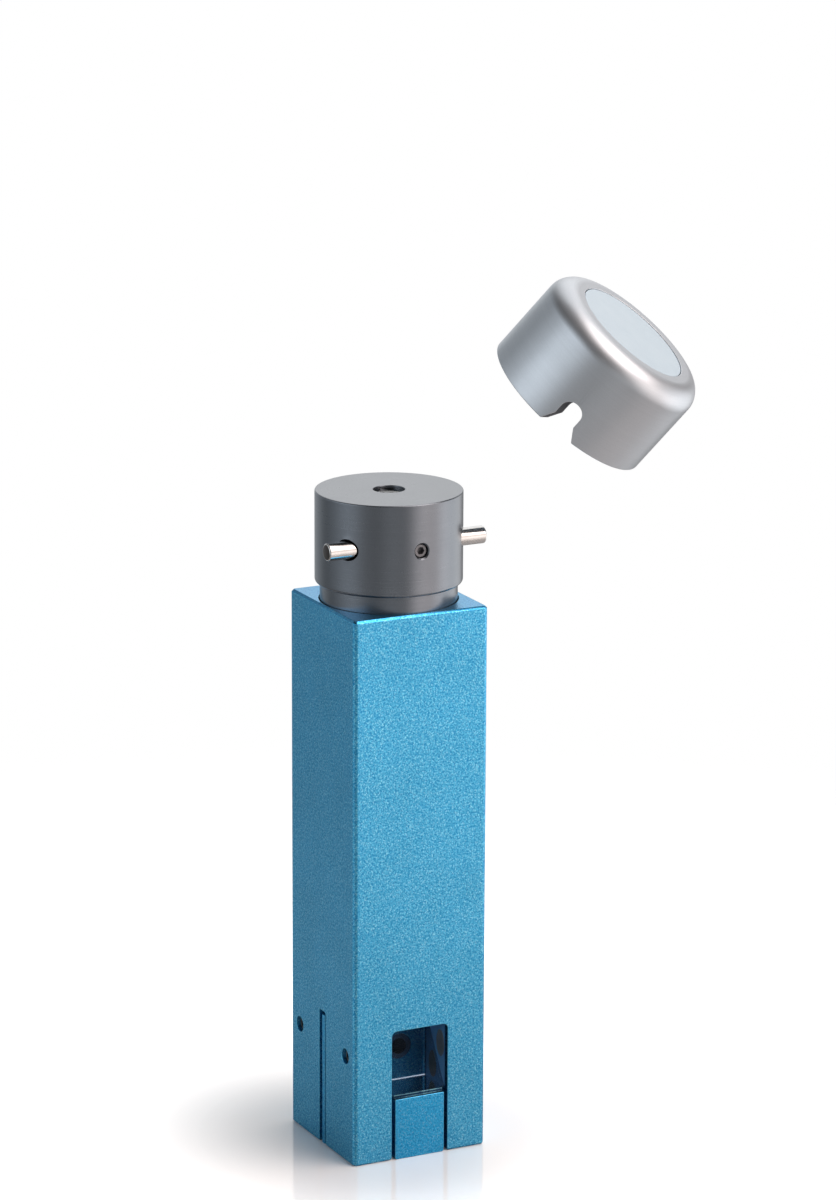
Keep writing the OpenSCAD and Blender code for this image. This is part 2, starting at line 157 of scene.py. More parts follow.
class Solid:
    """A closed mesh that is being shaped, in millimetres."""

    thread_columns: int = 40  # points round a thread
    thread_rows: int = 8  # rings of points in each turn of a thread
    thread_run_out: float = 0.7  # turns over which a thread fades at each end

    def __init__(self, bm: bmesh.types.BMesh) -> None:
        """Takes over the faces of bm, with their normals turned outwards.

        Args:
            bm: The faces. It is freed once they are taken over.
        """
        bmesh.ops.recalc_face_normals(bm, faces=bm.faces)
        self.mesh = bpy.data.meshes.new("solid")
        bm.to_mesh(self.mesh)
        bm.free()

    @classmethod
    def lofted(cls, rings: Sequence[Sequence[Vector]], closed: bool = False) -> "Solid":
        """Skins a row of rings that have equally many points, or one point.

        Args:
            rings: The rings in order. A ring of one point is a tip.
            closed: Joins the last ring to the first instead of capping both.

        Returns:
            The solid.
        """
        bm = bmesh.new()
        made = [[bm.verts.new(point) for point in ring] for ring in rings]
        for ring, after in zip(made, made[1:] + (made[:1] if closed else [])):
            for near in range(max(len(ring) for ring in made)):
                far = near + 1
                corners = list(dict.fromkeys((
                    ring[near % len(ring)], ring[far % len(ring)],
                    after[far % len(after)], after[near % len(after)],
                )))
                if len(corners) > 2:
                    bm.faces.new(corners)
        if not closed:
            for ring in (made[0], made[-1]):
                if len(ring) > 2:
                    bm.faces.new(ring)
        return cls(bm)

    @classmethod
    def turned(cls, profile: Outline, steps: int = TURN_STEPS) -> "Solid":
        """Turns a closed outline about Z.

        Args:
            profile: Points of radius and height, in order round the section.
            steps: Number of steps in a full turn.

        Returns:
            The solid.
        """
        turns = [math.tau * k / steps for k in range(steps)]
        rings = [
            [Vector((0, 0, height))] if radius < WELD
            else [Vector((radius * math.cos(t), radius * math.sin(t), height)) for t in turns]
            for radius, height in profile
        ]
        return cls.lofted(rings, closed=True)

    @classmethod
    def tube(
        cls, inner: float, outer: float, low: float, high: float, steps: int = TURN_STEPS
    ) -> "Solid":
        """A tube that stands on Z between two heights.

        Args:
            inner: Radius of the hole, or 0.
            outer: Radius of the tube.
            low: Height of its foot.
            high: Height of its top.
            steps: Number of steps in a full turn.

        Returns:
            The solid.
        """
        return cls.turned([(inner, low), (outer, low), (outer, high), (inner, high)], steps)

    @classmethod
    def cylinder(cls, radius: float, low: float, high: float, steps: int = HOLE_STEPS) -> "Solid":
        """A cylinder that stands on Z between two heights."""
        return cls.tube(0, radius, low, high, steps)

    @classmethod
    def extruded(cls, outline: Outline, low: float, high: float, axis: Axis) -> "Solid":
        """Extrudes a closed outline between two places on an axis."""
        return cls.lofted([[axis.point(u, v, w) for u, v in outline] for w in (low, high)])

    @classmethod
    def box(cls, low: Sequence[float], high: Sequence[float]) -> "Solid":
        """A block between two opposite corners."""
        outline = [(low[0], low[1]), (high[0], low[1]), (high[0], high[1]), (low[0], high[1])]
        return cls.extruded(outline, low[2], high[2], Axis.Z)

    @classmethod
    def threaded(cls, radius: float, pitch: float, depth: float, length: float) -> "Solid":
        """A rod along Z with a single-start thread and run-out at both ends.

        Args:
            radius: Radius over the crests.
            pitch: Rise of the thread in one turn.
            depth: Depth of the thread.
            length: Length of the rod, which starts at Z = 0.

        Returns:
            The solid.
        """
        columns, rows = cls.thread_columns, round(cls.thread_rows * length / pitch)
        rings = []
        for i in range(rows + 1):
            z = length * i / rows
            run_out = max(0.0, 1 - min(z, length - z) / (cls.thread_run_out * pitch))
            ring = []
            for k in range(columns):
                wave = abs(2 * ((z / pitch - k / columns) % 1) - 1)
                r = radius - depth * max(wave, run_out)
                angle = math.tau * k / columns
                ring.append(Vector((r * math.cos(angle), r * math.sin(angle), z)))
            rings.append(ring)
        return cls.lofted(rings)

    def moved(self, matrix: Matrix) -> "Solid":
        """Moves, turns or mirrors the solid.

        Args:
            matrix: The move, in millimetres.

        Returns:
            The solid itself.
        """
        self.mesh.transform(matrix)
        if matrix.determinant() < 0:
            self.mesh.flip_normals()
        return self

    def copy(self) -> "Solid":
        """A second solid with the same faces."""
        return self.joined()

    def joined(self, *others: "Solid") -> "Solid":
        """A solid with the faces of this one and of others that don't touch it.

        Args:
            *others: The other solids.

        Returns:
            The new solid.
        """
        bm = bmesh.new()
        for solid in (self, *others):
            bm.from_mesh(solid.mesh)
        return Solid(bm)

    def _modify(self, kind: str, **settings: object) -> None:
        """Puts the mesh that a modifier makes in the place of the solid's own.

        Args:
            kind: The modifier's type.
            **settings: The modifier's own properties.
        """
        host = linked("host", self.mesh)
        modifier = host.modifiers.new("modifier", kind)
        for name, value in settings.items():
            setattr(modifier, name, value)
        depsgraph = bpy.context.evaluated_depsgraph_get()
        self.mesh = bpy.data.meshes.new_from_object(host.evaluated_get(depsgraph))
        bpy.data.objects.remove(host)

    def _combine(self, others: Sequence["Solid"], operation: str) -> "Solid":
        """Combines the solid with others that cross it, by Blender's exact solver.

        Args:
            others: The other solids.
            operation: DIFFERENCE or UNION.

        Returns:
            The solid itself.
        """
        for other in others:
            tool = linked("tool", other.mesh)
            self._modify("BOOLEAN", operation=operation, solver="EXACT", object=tool)
            bpy.data.objects.remove(tool)
        return self

    def cut(self, *tools: "Solid") -> "Solid":
        """Takes the tools' space away from the solid, and returns it."""
        return self._combine(tools, "DIFFERENCE")

    def fused(self, *others: "Solid") -> "Solid":
        """Makes the solid one with others that cross it, and returns it."""
        return self._combine(others, "UNION")

    def softened(
        self, width: float, steps: int = 3, where: Callable[[Vector, Vector], bool] | None = None
    ) -> "Solid":
        """Rounds the solid's sharp edges.

        Args:
            width: How far the rounding reaches from each edge.
            steps: Number of strips across the rounding.
            where: Picks an edge by its two ends. All sharp edges if left out.

        Returns:
            The solid itself.
        """
        bm = bmesh.new()
        bm.from_mesh(self.mesh)
        bmesh.ops.remove_doubles(bm, verts=bm.verts, dist=WELD)
        bmesh.ops.dissolve_limit(bm, angle_limit=FLAT, verts=bm.verts, edges=bm.edges)
        mask = bm.faces.layers.float.get(EDGE_MASK) or bm.faces.layers.float.new(EDGE_MASK)
        sharp = [
            edge for edge in bm.edges
            if len(edge.link_faces) == 2
            and edge.calc_face_angle() > CREASE
            and (where is None or where(edge.verts[0].co, edge.verts[1].co))
        ]
        made = bmesh.ops.bevel(
            bm, geom=sharp, offset=width, offset_type="OFFSET", segments=steps, profile=0.5,
            affect="EDGES", clamp_overlap=False,
        )
        for face in made["faces"]:
            face[mask] = 1.0
        bm.to_mesh(self.mesh)
        bm.free()
        return self

    def _shade(self, walls: Sequence[float]) -> None:
        """Gives the mesh smooth normals that leave its flat faces flat.

        Args:
            walls: Radii of round walls about Z, whose normals are made exact.
        """
        self.mesh.shade_smooth()
        self.mesh.set_sharp_from_angle(angle=CREASE)
        self._modify("WEIGHTED_NORMAL", mode="FACE_AREA", weight=100, keep_sharp=True)
        if walls:
            self._true_walls(walls)

    def _true_walls(self, walls: Sequence[float]) -> None:
        """Points the corner normals on round walls about Z straight out from it.

        Args:
            walls: Radii of the walls.
        """
        normals = [corner.vector.copy() for corner in self.mesh.corner_normals]
        for face in self.mesh.polygons:
            for loop in face.loop_indices:
                point = self.mesh.vertices[self.mesh.loops[loop].vertex_index].co.copy()
                point.z = 0
                on_wall = any(abs(point.length - wall * MM) < WALL_REACH * MM for wall in walls)
                if on_wall and abs(face.normal.dot(point.normalized())) > WALL_LEAN:
                    side = 1 if face.normal.dot(point) > 0 else -1
                    normals[loop] = point.normalized() * side
        self.mesh.normals_split_custom_set(normals)

    def piece(
        self, name: str, node: str, *finishes: "Finish", place: Matrix | None = None,
        pick: Picker | None = None, walls: Sequence[float] = (),
    ) -> None:
        """Publishes the solid as a piece that stands for a CAD node.

        Args:
            name: Name of the piece.
            node: The CAD node that it is shown instead of.
            *finishes: The finishes of its faces.
            place: Where the piece's own frame lies, with its move in metres.
            pick: Gives a face's finish by its number. The first one if left out.
            walls: Radii of round walls about Z, for smooth shading round holes.
        """
        self.mesh.transform(Matrix.Scale(MM, 4))
        self._shade(walls)
        self.mesh.materials.clear()
        for finish in finishes:
            self.mesh.materials.append(finish.material())
        for face in self.mesh.polygons:
            face.material_index = pick(face.normal, face.center / MM) if pick else 0
        self.mesh.name = name
        obj = linked(name, self.mesh)
        if place is not None:
            obj.matrix_world = place
        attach(obj, ROOT)
        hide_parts(node)
        log.info("piece %s stands for %s: %d faces", name, node, len(self.mesh.polygons))


# ---- node trees ----


class Graph:
    """A node tree with short calls for placing and joining nodes."""

    def __init__(self, tree: bpy.types.NodeTree) -> None:
        """Works on the given tree."""
        self.tree = tree

    @classmethod
    def of(cls, owner: bpy.types.Material | bpy.types.World) -> "Graph":
        """The tree of a material or a world, emptied.

        Args:
            owner: The material or the world.

        Returns:
            A graph on its tree.
        """
        owner.use_nodes = True
        owner.node_tree.nodes.clear()
        return cls(owner.node_tree)

    @staticmethod
    def _find(sockets: bpy.types.NodeInputs, key: str) -> Socket:
        """The socket with that identifier, or else with that name in any case.

        Args:
            sockets: A node's inputs.
            key: The identifier or the name.

        Returns:
            The socket.
        """
        for socket in sockets:
            if socket.identifier == key:
                return socket
        return next(one for one in sockets if one.name.lower() == key.lower() and one.enabled)

    def put(self, target: Socket, source: object) -> None:
        """Links a socket to target, or sets target's own value.

        Args:
            target: The input.
            source: A socket, a number, a colour or a vector.
        """
        if isinstance(source, Socket):
            self.tree.links.new(source, target)
        elif isinstance(source, tuple) and target.type == "RGBA":
            target.default_value = (*source, 1.0)
        else:
            target.default_value = source

    def node(
        self, kind: str, inputs: dict[str, object] | None = None, **settings: object
    ) -> bpy.types.Node:
        """Places a node.

        Args:
            kind: The node's type, without ShaderNode in front.
            inputs: Values or sockets for its inputs.
            **settings: The node's own properties.

        Returns:
            The node.
        """
        made = self.tree.nodes.new("ShaderNode" + kind)
        for name, value in settings.items():
            setattr(made, name, value)
        for key, source in (inputs or {}).items():
            self.put(self._find(made.inputs, key), source)
        return made

    def math(self, operation: str, *terms: object) -> Socket:
        """The result of a Math node.

        Args:
            operation: The node's operation.
            *terms: Sockets or numbers, as many as the operation takes.

        Returns:
            The result's socket.
        """
        made = self.node("Math", operation=operation)
        for socket, source in zip(made.inputs, terms):
            self.put(socket, source)
        return made.outputs[0]

    def vector(self, operation: str, **inputs: object) -> Socket:
        """The result of a Vector Math node, a number if the operation gives one."""
        made = self.node("VectorMath", inputs, operation=operation)
        return next(socket for socket in made.outputs if socket.enabled)

    def total(self, weights: Sequence[float], *sources: Socket) -> Socket:
        """The sum of some sockets, each times its weight.

        Args:
            weights: The weights, in the order of the sockets.
            *sources: The sockets.

        Returns:
            The sum's socket.
        """
        result = self.math("MULTIPLY", sources[0], weights[0])
        for source, weight in zip(sources[1:], weights[1:]):
            result = self.math("MULTIPLY_ADD", source, weight, result)
        return result

    def spread(
        self, value: object, low: float, high: float, to_low: float, to_high: float,
        smooth: bool = False,
    ) -> Socket:
        """Maps a value from one range to another, held at both ends.

        Args:
            value: The value.
            low: Start of the value's range.
            high: End of the value's range.
            to_low: What the start becomes.
            to_high: What the end becomes.
            smooth: Eases in and out of the range.

        Returns:
            The mapped value's socket.
        """
        return self.node(
            "MapRange",
            {"Value": value, "From Min": low, "From Max": high, "To Min": to_low, "To Max": to_high},
            interpolation_type="SMOOTHSTEP" if smooth else "LINEAR",
        ).outputs[0]

    def gloss(self, tone: Socket, middle: float, swing: float) -> Socket:
        """A roughness that falls as the tone rises, by a swing to each side."""
        return self.spread(tone, 0.0, 1.0, middle + swing, middle - swing)

    def mix(self, factor: object, first: object, second: object, blend: str = "MIX") -> Socket:
        """Mixes two colours.

        Args:
            factor: Share of the second colour.
            first: The first colour.
            second: The second colour.
            blend: How the second is laid over the first.

        Returns:
            The mixed colour's socket.
        """
        made = self.node(
            "Mix", {"Factor_Float": factor, "A_Color": first, "B_Color": second},
            data_type="RGBA", blend_type=blend,
        )
        return next(socket for socket in made.outputs if socket.identifier == "Result_Color")

    def place(self) -> Socket:
        """The surface point in the piece's own frame, in millimetres."""
        return self.vector("SCALE", Vector=self.node("TexCoord").outputs["Object"], Scale=1 / MM)

    def noise(self, point: Socket, scale: object, detail: float, **more: float) -> Socket:
        """The value of a noise texture at a point."""
        inputs = {"Vector": point, "Scale": scale, "Detail": detail, **more}
        return self.node("TexNoise", inputs).outputs[0]

    def bump(self, height: Socket, strength: float, depth: float) -> Socket:
        """The normal of a relief that is so many millimetres deep."""
        inputs = {"Height": height, "Strength": strength, "Distance": depth * MM}
        return self.node("Bump", inputs).outputs[0]

    def effect(self, effect: "Effect", **inputs: float) -> bpy.types.NodeOutputs:
        """The outputs of an effect's group, whose inputs have the given values.

        Args:
            effect: The effect.
            **inputs: Numbers for the group's inputs.

        Returns:
            The group node's outputs.
        """
        made = self.node("Group", node_tree=effect.group())
        for name, value in inputs.items():
            self.put(self._find(made.inputs, name), value)
        return made.outputs

    def surface(self, **inputs: object) -> Socket:
        """The output of a Principled node, whose inputs are named with _ for a blank."""
        named = {name.replace("_", " "): source for name, source in inputs.items()}
        return self.node("BsdfPrincipled", named).outputs[0]


class Effect(Enum):
    """A surface effect that several finishes share, as a node group."""

    GRAIN = "blasted grain"
    TURNING = "turning lines"
    CLOUDS = "soft clouds"
    EDGES = "rubbed edges"

    def group(self) -> bpy.types.NodeTree:
        """The effect's node group, built the first time that it is asked for.

        Returns:
            The group.
        """
        found = bpy.data.node_groups.get(self.value)
        if found is not None:
            return found
        build, inputs = {
            Effect.GRAIN: (_grain, {"Scale": 5.0}),
            Effect.TURNING: (_turning, {"Scale": 12.0}),
            Effect.CLOUDS: (_clouds, {"Scale": 0.3}),
            Effect.EDGES: (_edges, {"Amount": 0.5, "Scale": 3.0}),
        }[self]
        tree = bpy.data.node_groups.new(self.value, "ShaderNodeTree")
        number = "NodeSocketFloat"
        for name, value in inputs.items():
            socket = tree.interface.new_socket(name=name, in_out="INPUT", socket_type=number)
            socket.default_value = value
        graph = Graph(tree)
        given = tree.nodes.new("NodeGroupInput").outputs
        results = build(graph, *(given[name] for name in inputs))
        for name in results:
            tree.interface.new_socket(name=name, in_out="OUTPUT", socket_type=number)
        taken = tree.nodes.new("NodeGroupOutput").inputs
        for name, source in results.items():
            graph.put(taken[name], source)
        return tree


NOISE_BAND = (0.3, 0.7)  # where nearly all values of a noise lie
GRAIN_BAND = (0.27, 0.73)  # a little wider, so that the grain stays soft
PAINTED_GLINT_BAND = (0.56, 0.72)  # the few high values that make painted glints
PIT_BAND = (0.28, 0.44)  # the few low values that make dark points
POINT_FINENESS = 1.6  # how much finer the points are than the grain
POINT_SHIFT = (31.0, 17.0, 53.0)  # sets the points apart from the grain
WEAR_BAND = (0.35, 0.6)  # values over which an edge's wear goes from least to full
WEAR_LEAST = 0.3  # share of the wear where an edge is rubbed least


def _grain(graph: Graph, scale: Socket) -> dict[str, Socket]:
    """The soft pits that bead blasting leaves, with dark points and bright points of painted glint.

    Args:
        graph: The group's graph.
        scale: Fineness of the grain.

    Returns:
        The group's outputs by name.
    """
    point = graph.place()
    pits = graph.noise(point, scale, 2.0, Roughness=0.6)
    fine = graph.vector("ADD", Vector=point, Vector_001=POINT_SHIFT)
    points = graph.noise(fine, graph.math("MULTIPLY", scale, POINT_FINENESS), 1.0)
    return {
        "Tone": graph.spread(pits, *GRAIN_BAND, 0.0, 1.0),
        "Spark": graph.spread(points, *PAINTED_GLINT_BAND, 0.0, 1.0),
        "Pit": graph.spread(points, *PIT_BAND, 1.0, 0.0),
        "Height": pits,
    }


def _turning(graph: Graph, scale: Socket) -> dict[str, Socket]:
    """Fine lines round the Z axis, as a lathe tool leaves them.

    Args:
        graph: The group's graph.
        scale: Fineness of the lines.

    Returns:
        The group's outputs by name.
    """
    x, y, z = graph.node("SeparateXYZ", {"Vector": graph.place()}).outputs
    across = graph.math("MULTIPLY", x, x)
    radius = graph.math("SQRT", graph.math("MULTIPLY_ADD", y, y, across))
    line = graph.node("CombineXYZ", {"X": radius, "Y": z, "Z": 0.0}).outputs[0]
    lines = graph.noise(line, scale, 2.0)
    return {"Tone": graph.spread(lines, *NOISE_BAND, 0.0, 1.0), "Height": lines}


def _clouds(graph: Graph, scale: Socket) -> dict[str, Socket]:
    """Broad, soft differences of shade, as handling leaves them."""
    return {"Tone": graph.spread(graph.noise(graph.place(), scale, 4.0), *NOISE_BAND, 0.0, 1.0)}


def _edges(graph: Graph, amount: Socket, scale: Socket) -> dict[str, Socket]:
    """The rounded edges, broken up where a finish is rubbed thin.

    Args:
        graph: The group's graph.
        amount: Strength of the wear.
        scale: Fineness of its breaks.

    Returns:
        The group's outputs by name.
    """
    mask = graph.node("Attribute", attribute_name=EDGE_MASK).outputs["Fac"]
    breaks = graph.noise(graph.place(), scale, 3.0)
    patchy = graph.spread(breaks, *WEAR_BAND, WEAR_LEAST, 1.0)
    return {"Mask": graph.math("MULTIPLY", graph.math("MULTIPLY", mask, patchy), amount)}


# ---- finishes ----


@dataclass(frozen=True)
class Finish:
    """What every finish has: a name, and the name of the record slot that it is meant for."""

    name: str
    slot: str

    def material(self) -> bpy.types.Material:
        """The finish's material, made the first time that it is asked for.

        Returns:
            The material.
        """
        made = bpy.data.materials.get(self.name)
        if made is None:
            made = bpy.data.materials.new(self.name)
            graph = Graph.of(made)
            graph.put(graph.node("OutputMaterial").inputs["Surface"], self.shader(graph))
        return made

    def shader(self, graph: Graph) -> Socket:
        """Builds the finish's shader and returns its output."""
        raise NotImplementedError


@dataclass(frozen=True)
class BlastedFinish(Finish):
    """Bead-blasted aluminium under a coloured oxide coat."""

    colour: Colour
    pit: Colour
    # Colour of the painted glints.
    spark: Colour
    edge: Colour
    grain: float = 5.6
    contrast: float = 0.9
    pit_and_glint_share: float = 0.5
    metallic: float = 0.9
    roughness: float = 0.45
    relief: float = 0.5
    relief_depth: float = 0.04
    gloss_swing: float = 0.07
    cloud_scale: float = 0.25
    cloud_shades: tuple[float, float] = (0.95, 1.03)
    edge_wear: float = 0.6
    edge_scale: float = 2.5

    def shader(self, graph: Graph) -> Socket:
        """A metal whose colour, gloss and relief all follow the grain, with painted glints in its
        colour.

        Args:
            graph: The material's graph.

        Returns:
            The shader's output.
        """
        grain = graph.effect(Effect.GRAIN, scale=self.grain)
        clouds = graph.effect(Effect.CLOUDS, scale=self.cloud_scale)
        edges = graph.effect(Effect.EDGES, amount=self.edge_wear, scale=self.edge_scale)
        tone = graph.math("SUBTRACT", grain["Tone"], 0.5)
        tone = graph.math("MULTIPLY_ADD", tone, self.contrast, 0.5)
        colour = graph.mix(tone, self.pit, self.colour)
        # Dark points are grain; bright points are painted glints.
        for mask, point in (("Pit", self.pit), ("Spark", self.spark)):
            colour = graph.mix(graph.math("MULTIPLY", grain[mask], self.pit_and_glint_share), colour, point)
        shade = graph.spread(clouds["Tone"], 0.0, 1.0, *self.cloud_shades)
        shade = graph.node("CombineColor", dict.fromkeys(("Red", "Green", "Blue"), shade)).outputs[0]
        colour = graph.mix(1.0, colour, shade, "MULTIPLY")
        return graph.surface(
            base_color=graph.mix(edges["Mask"], colour, self.edge), metallic=self.metallic,
            roughness=graph.gloss(grain["Tone"], self.roughness, self.gloss_swing),
            normal=graph.bump(grain["Height"], self.relief, self.relief_depth),
        )


@dataclass(frozen=True)
class SatinFinish(Finish):
    """Turned metal with a fine satin skin."""

    colour: Colour
    dark: Colour
    edge: Colour
    metallic: float = 0.7
    roughness: float = 0.36
    coat: float = 0.0
    coat_roughness: float = 0.3
    grain: float = 14.0
    line_scale: float = 9.0
    line_height: float = 0.4
    relief: float = 0.12
    relief_depth: float = 0.01
    gloss_swing: float = 0.06
    cloud_scale: float = 0.35
    shares: tuple[float, ...] = (0.25, 0.5, 0.25)  # of the lines, the grain and the clouds
    edge_wear: float = 0.5
    edge_scale: float = 1.5

    def shader(self, graph: Graph) -> Socket:
        """A metal with faint turning lines under a very fine grain.

        Args:
            graph: The material's graph.

        Returns:
            The shader's output.
        """
        grain = graph.effect(Effect.GRAIN, scale=self.grain)
        lines = graph.effect(Effect.TURNING, scale=self.line_scale)
        clouds = graph.effect(Effect.CLOUDS, scale=self.cloud_scale)
        edges = graph.effect(Effect.EDGES, amount=self.edge_wear, scale=self.edge_scale)
        tone = graph.total(self.shares, lines["Tone"], grain["Tone"], clouds["Tone"])
        height = graph.math("MULTIPLY_ADD", lines["Height"], self.line_height, grain["Height"])
        colour = graph.mix(tone, self.dark, self.colour)
        return graph.surface(
            base_color=graph.mix(edges["Mask"], colour, self.edge), metallic=self.metallic,
            roughness=graph.gloss(tone, self.roughness, self.gloss_swing),
            coat_weight=self.coat, coat_roughness=self.coat_roughness,
            normal=graph.bump(height, self.relief, self.relief_depth),
        )


@dataclass(frozen=True)
class PolishedFinish(Finish):
    """Bright metal with faint marks of its turning or grinding."""

    colour: Colour
    dark: Colour
    roughness: float = 0.12
    dullest: float = 0.05  # roughness that the marks add at most
    line_scale: float = 16.0
    relief: float = 0.05
    relief_depth: float = 0.005
    cloud_scale: float = 0.8
    shares: tuple[float, ...] = (0.5, 0.5)  # of the clouds and the lines

    def shader(self, graph: Graph) -> Socket:
        """A metal that mirrors its surroundings through fine lines.

        Args:
            graph: The material's graph.

        Returns:
            The shader's output.
        """
        lines = graph.effect(Effect.TURNING, scale=self.line_scale)
        clouds = graph.effect(Effect.CLOUDS, scale=self.cloud_scale)
        tone = graph.total(self.shares, clouds["Tone"], lines["Tone"])
        return graph.surface(
            base_color=graph.mix(tone, self.dark, self.colour), metallic=1.0,
            roughness=graph.spread(tone, 0.0, 1.0, self.roughness + self.dullest, self.roughness),
            normal=graph.bump(lines["Height"], self.relief, self.relief_depth),
        )


@dataclass(frozen=True)
class MouldedFinish(Finish):
    """Rubber, plastic or lacquer: a plain body under a faint texture."""

    colour: Colour
    dark: Colour
    roughness: float = 0.5
    grain: float = 8.0
    relief: float = 0.1
    relief_depth: float = 0.01
    gloss_swing: float = 0.06
    cloud_scale: float = 0.4
    shares: tuple[float, ...] = (0.6, 0.4)  # of the clouds and the grain
    coat: float = 0.0
    coat_roughness: float = 0.15
    painted_glow: float = 0.0  # painted glow on the face's back side, standing in for light that the clear piece behind it brings

    def shader(self, graph: Graph) -> Socket:
        """A dull body whose shade and gloss vary a little.

        Args:
            graph: The material's graph.

        Returns:
            The shader's output.
        """
        grain = graph.effect(Effect.GRAIN, scale=self.grain)
        clouds = graph.effect(Effect.CLOUDS, scale=self.cloud_scale)
        tone = graph.total(self.shares, clouds["Tone"], grain["Tone"])
        painted_glow_colour: object = self.colour
        # Painted glow: the face's back side gives off light, though it is no lamp.
        if self.painted_glow:
            painted_glow_colour = graph.mix(graph.node("NewGeometry").outputs["Backfacing"], BLACK, self.colour)
        return graph.surface(
            base_color=graph.mix(tone, self.dark, self.colour),
            roughness=graph.gloss(tone, self.roughness, self.gloss_swing),
            coat_weight=self.coat, coat_roughness=self.coat_roughness,
            emission_color=painted_glow_colour, emission_strength=self.painted_glow,
            normal=graph.bump(grain["Height"], self.relief, self.relief_depth),
        )


@dataclass(frozen=True)
class QuartzFinish(Finish):
    """Polished fused quartz."""

    colour: Colour = (0.97, 0.99, 1.0)
    dust: Colour = (0.9, 0.94, 0.97)
    reflection: Colour = (0.04, 0.07, 0.12)  # what a thin anti-reflection coat leaves of it
    index: float = 1.458
    haze: float = 0.02  # roughness where the surface is dustiest
    haze_scale: float = 1.2

    def shader(self, graph: Graph) -> Socket:
        """Clear glass with the faintest haze on its surface.

        Args:
            graph: The material's graph.

        Returns:
            The shader's output.
        """
        haze = graph.effect(Effect.CLOUDS, scale=self.haze_scale)["Tone"]
        return graph.surface(
            base_color=graph.mix(haze, self.colour, self.dust),
            roughness=graph.spread(haze, 0.0, 1.0, 0.0, self.haze),
            ior=self.index, specular_tint=self.reflection, transmission_weight=1.0,
        )


# The object's own finishes: the name, the slot and then the colours.
BODY_BLUE = BlastedFinish(
    "blue anodised aluminium", "blue_anodised", srgb(98, 200, 237), srgb(44, 144, 202),
    srgb(160, 234, 254), srgb(112, 208, 242), contrast=1.5, pit_and_glint_share=0.75,
)
DECK_BLUE = BlastedFinish(
    "blue anodised milled face", "blue_anodised", srgb(84, 186, 232), srgb(40, 138, 200),
    srgb(170, 228, 248), srgb(104, 198, 236), contrast=1.0, pit_and_glint_share=0.4, roughness=0.2, relief=0.12,
)
# Painted shade: the body's own blue, darkened on the walls inside the channels.
INNER_WALL_SHADE = BlastedFinish(
    "blue anodised inside in painted shade", "blue_anodised", srgb(40, 122, 168), srgb(14, 66, 110),
    srgb(80, 152, 186), srgb(56, 128, 170), contrast=1.5, pit_and_glint_share=0.6,
)
# Painted shade: the holder's blue, darkened on the step in the narrow recess under the prism.
STEP_SHADE = BlastedFinish(
    "blue step in painted shade", "blue_anodised", srgb(20, 58, 92), srgb(10, 34, 62),
    srgb(60, 110, 140), srgb(110, 160, 170), contrast=0.8, pit_and_glint_share=0.3, roughness=0.3, relief=0.2,
)
HOLDER_BLUE = BlastedFinish(
    "blue anodised holder", "blue_anodised", srgb(72, 194, 242), srgb(32, 142, 206),
    srgb(150, 216, 240), srgb(120, 206, 234), contrast=1.2,
)
HEAD_GREY = SatinFinish(
    "grey satin head", "head_grey", srgb(122, 128, 136), srgb(106, 112, 120), srgb(152, 157, 164),
    metallic=0.9, roughness=0.3, coat=0.7,
)
CAP_SILVER = SatinFinish(
    "silver satin cap", "cap_silver", srgb(206, 211, 217), srgb(194, 199, 205), srgb(226, 229, 233),
    metallic=0.85, roughness=0.38,
)
# Painted shade: the cap's own silver, darkened on the notches' walls.
NOTCH_WALL_SHADE = SatinFinish(
    "cap silver in painted shade", "cap_silver", srgb(112, 114, 120), srgb(92, 94, 100), srgb(140, 142, 148),
    metallic=0.85, roughness=0.4,
)
PIN_STEEL = PolishedFinish(
    "polished pin steel", "polished_steel", srgb(222, 221, 220), srgb(192, 190, 188)
)
# Painted reflection: the pin's end faces are darkened to stand for the dark surroundings that they
# mirror.
PIN_END_DARK = PolishedFinish("pin end in painted dark reflection", "polished_steel", srgb(92, 86, 82), srgb(64, 60, 58), 0.3)
FERRULE_STEEL = PolishedFinish(
    "ferrule steel", "ferrule_steel", srgb(116, 136, 156), srgb(92, 110, 130), 0.3
)
SCREW_STEEL = PolishedFinish(
    "dark screw steel", "dark_steel", srgb(150, 142, 137), srgb(112, 106, 102), 0.4
)
LOCK_STEEL = PolishedFinish(
    "dull screw steel", "dark_steel", srgb(150, 150, 154), srgb(130, 130, 134), 0.6
)
SEAL_RUBBER = MouldedFinish("black seal rubber", "seal_rubber", srgb(38, 38, 40), srgb(24, 24, 26), 0.6)
FIBRE_BLACK = MouldedFinish(
    "black fibre jacket", "fibre_black", srgb(40, 50, 60), srgb(26, 34, 42), 0.45
)
PAD_GREY = MouldedFinish("grey pad", "pad_white", srgb(116, 130, 136), srgb(98, 112, 118), 0.5)
DISC_WHITE = MouldedFinish(
    "white cap disc", "disc_white", srgb(188, 206, 218), srgb(180, 199, 212), 0.4, relief=0.04, coat=0.2
)
QUARTZ = QuartzFinish("polished quartz", "quartz")
GROUND_QUARTZ = MouldedFinish(
    "ground quartz side", "quartz", srgb(100, 172, 228), srgb(82, 150, 208), 0.7, 12.0
)
# Painted glow: the ground bevel glows on its inner side, though it is no lamp.
GROUND_BEVEL_GLOW = MouldedFinish(
    "ground quartz bevel with painted glow", "quartz", srgb(225, 228, 236), srgb(200, 208, 220), 0.7, 12.0, painted_glow=1.4
)
MIRROR_COAT = PolishedFinish(
    "dark mirror coat", "mirror", srgb(170, 180, 190), srgb(158, 168, 180), 0.02, relief=0.0
)
CAP_MIRROR = PolishedFinish("cap mirror", "mirror", srgb(236, 238, 240), srgb(226, 229, 232), 0.03)


# ---- the object ----


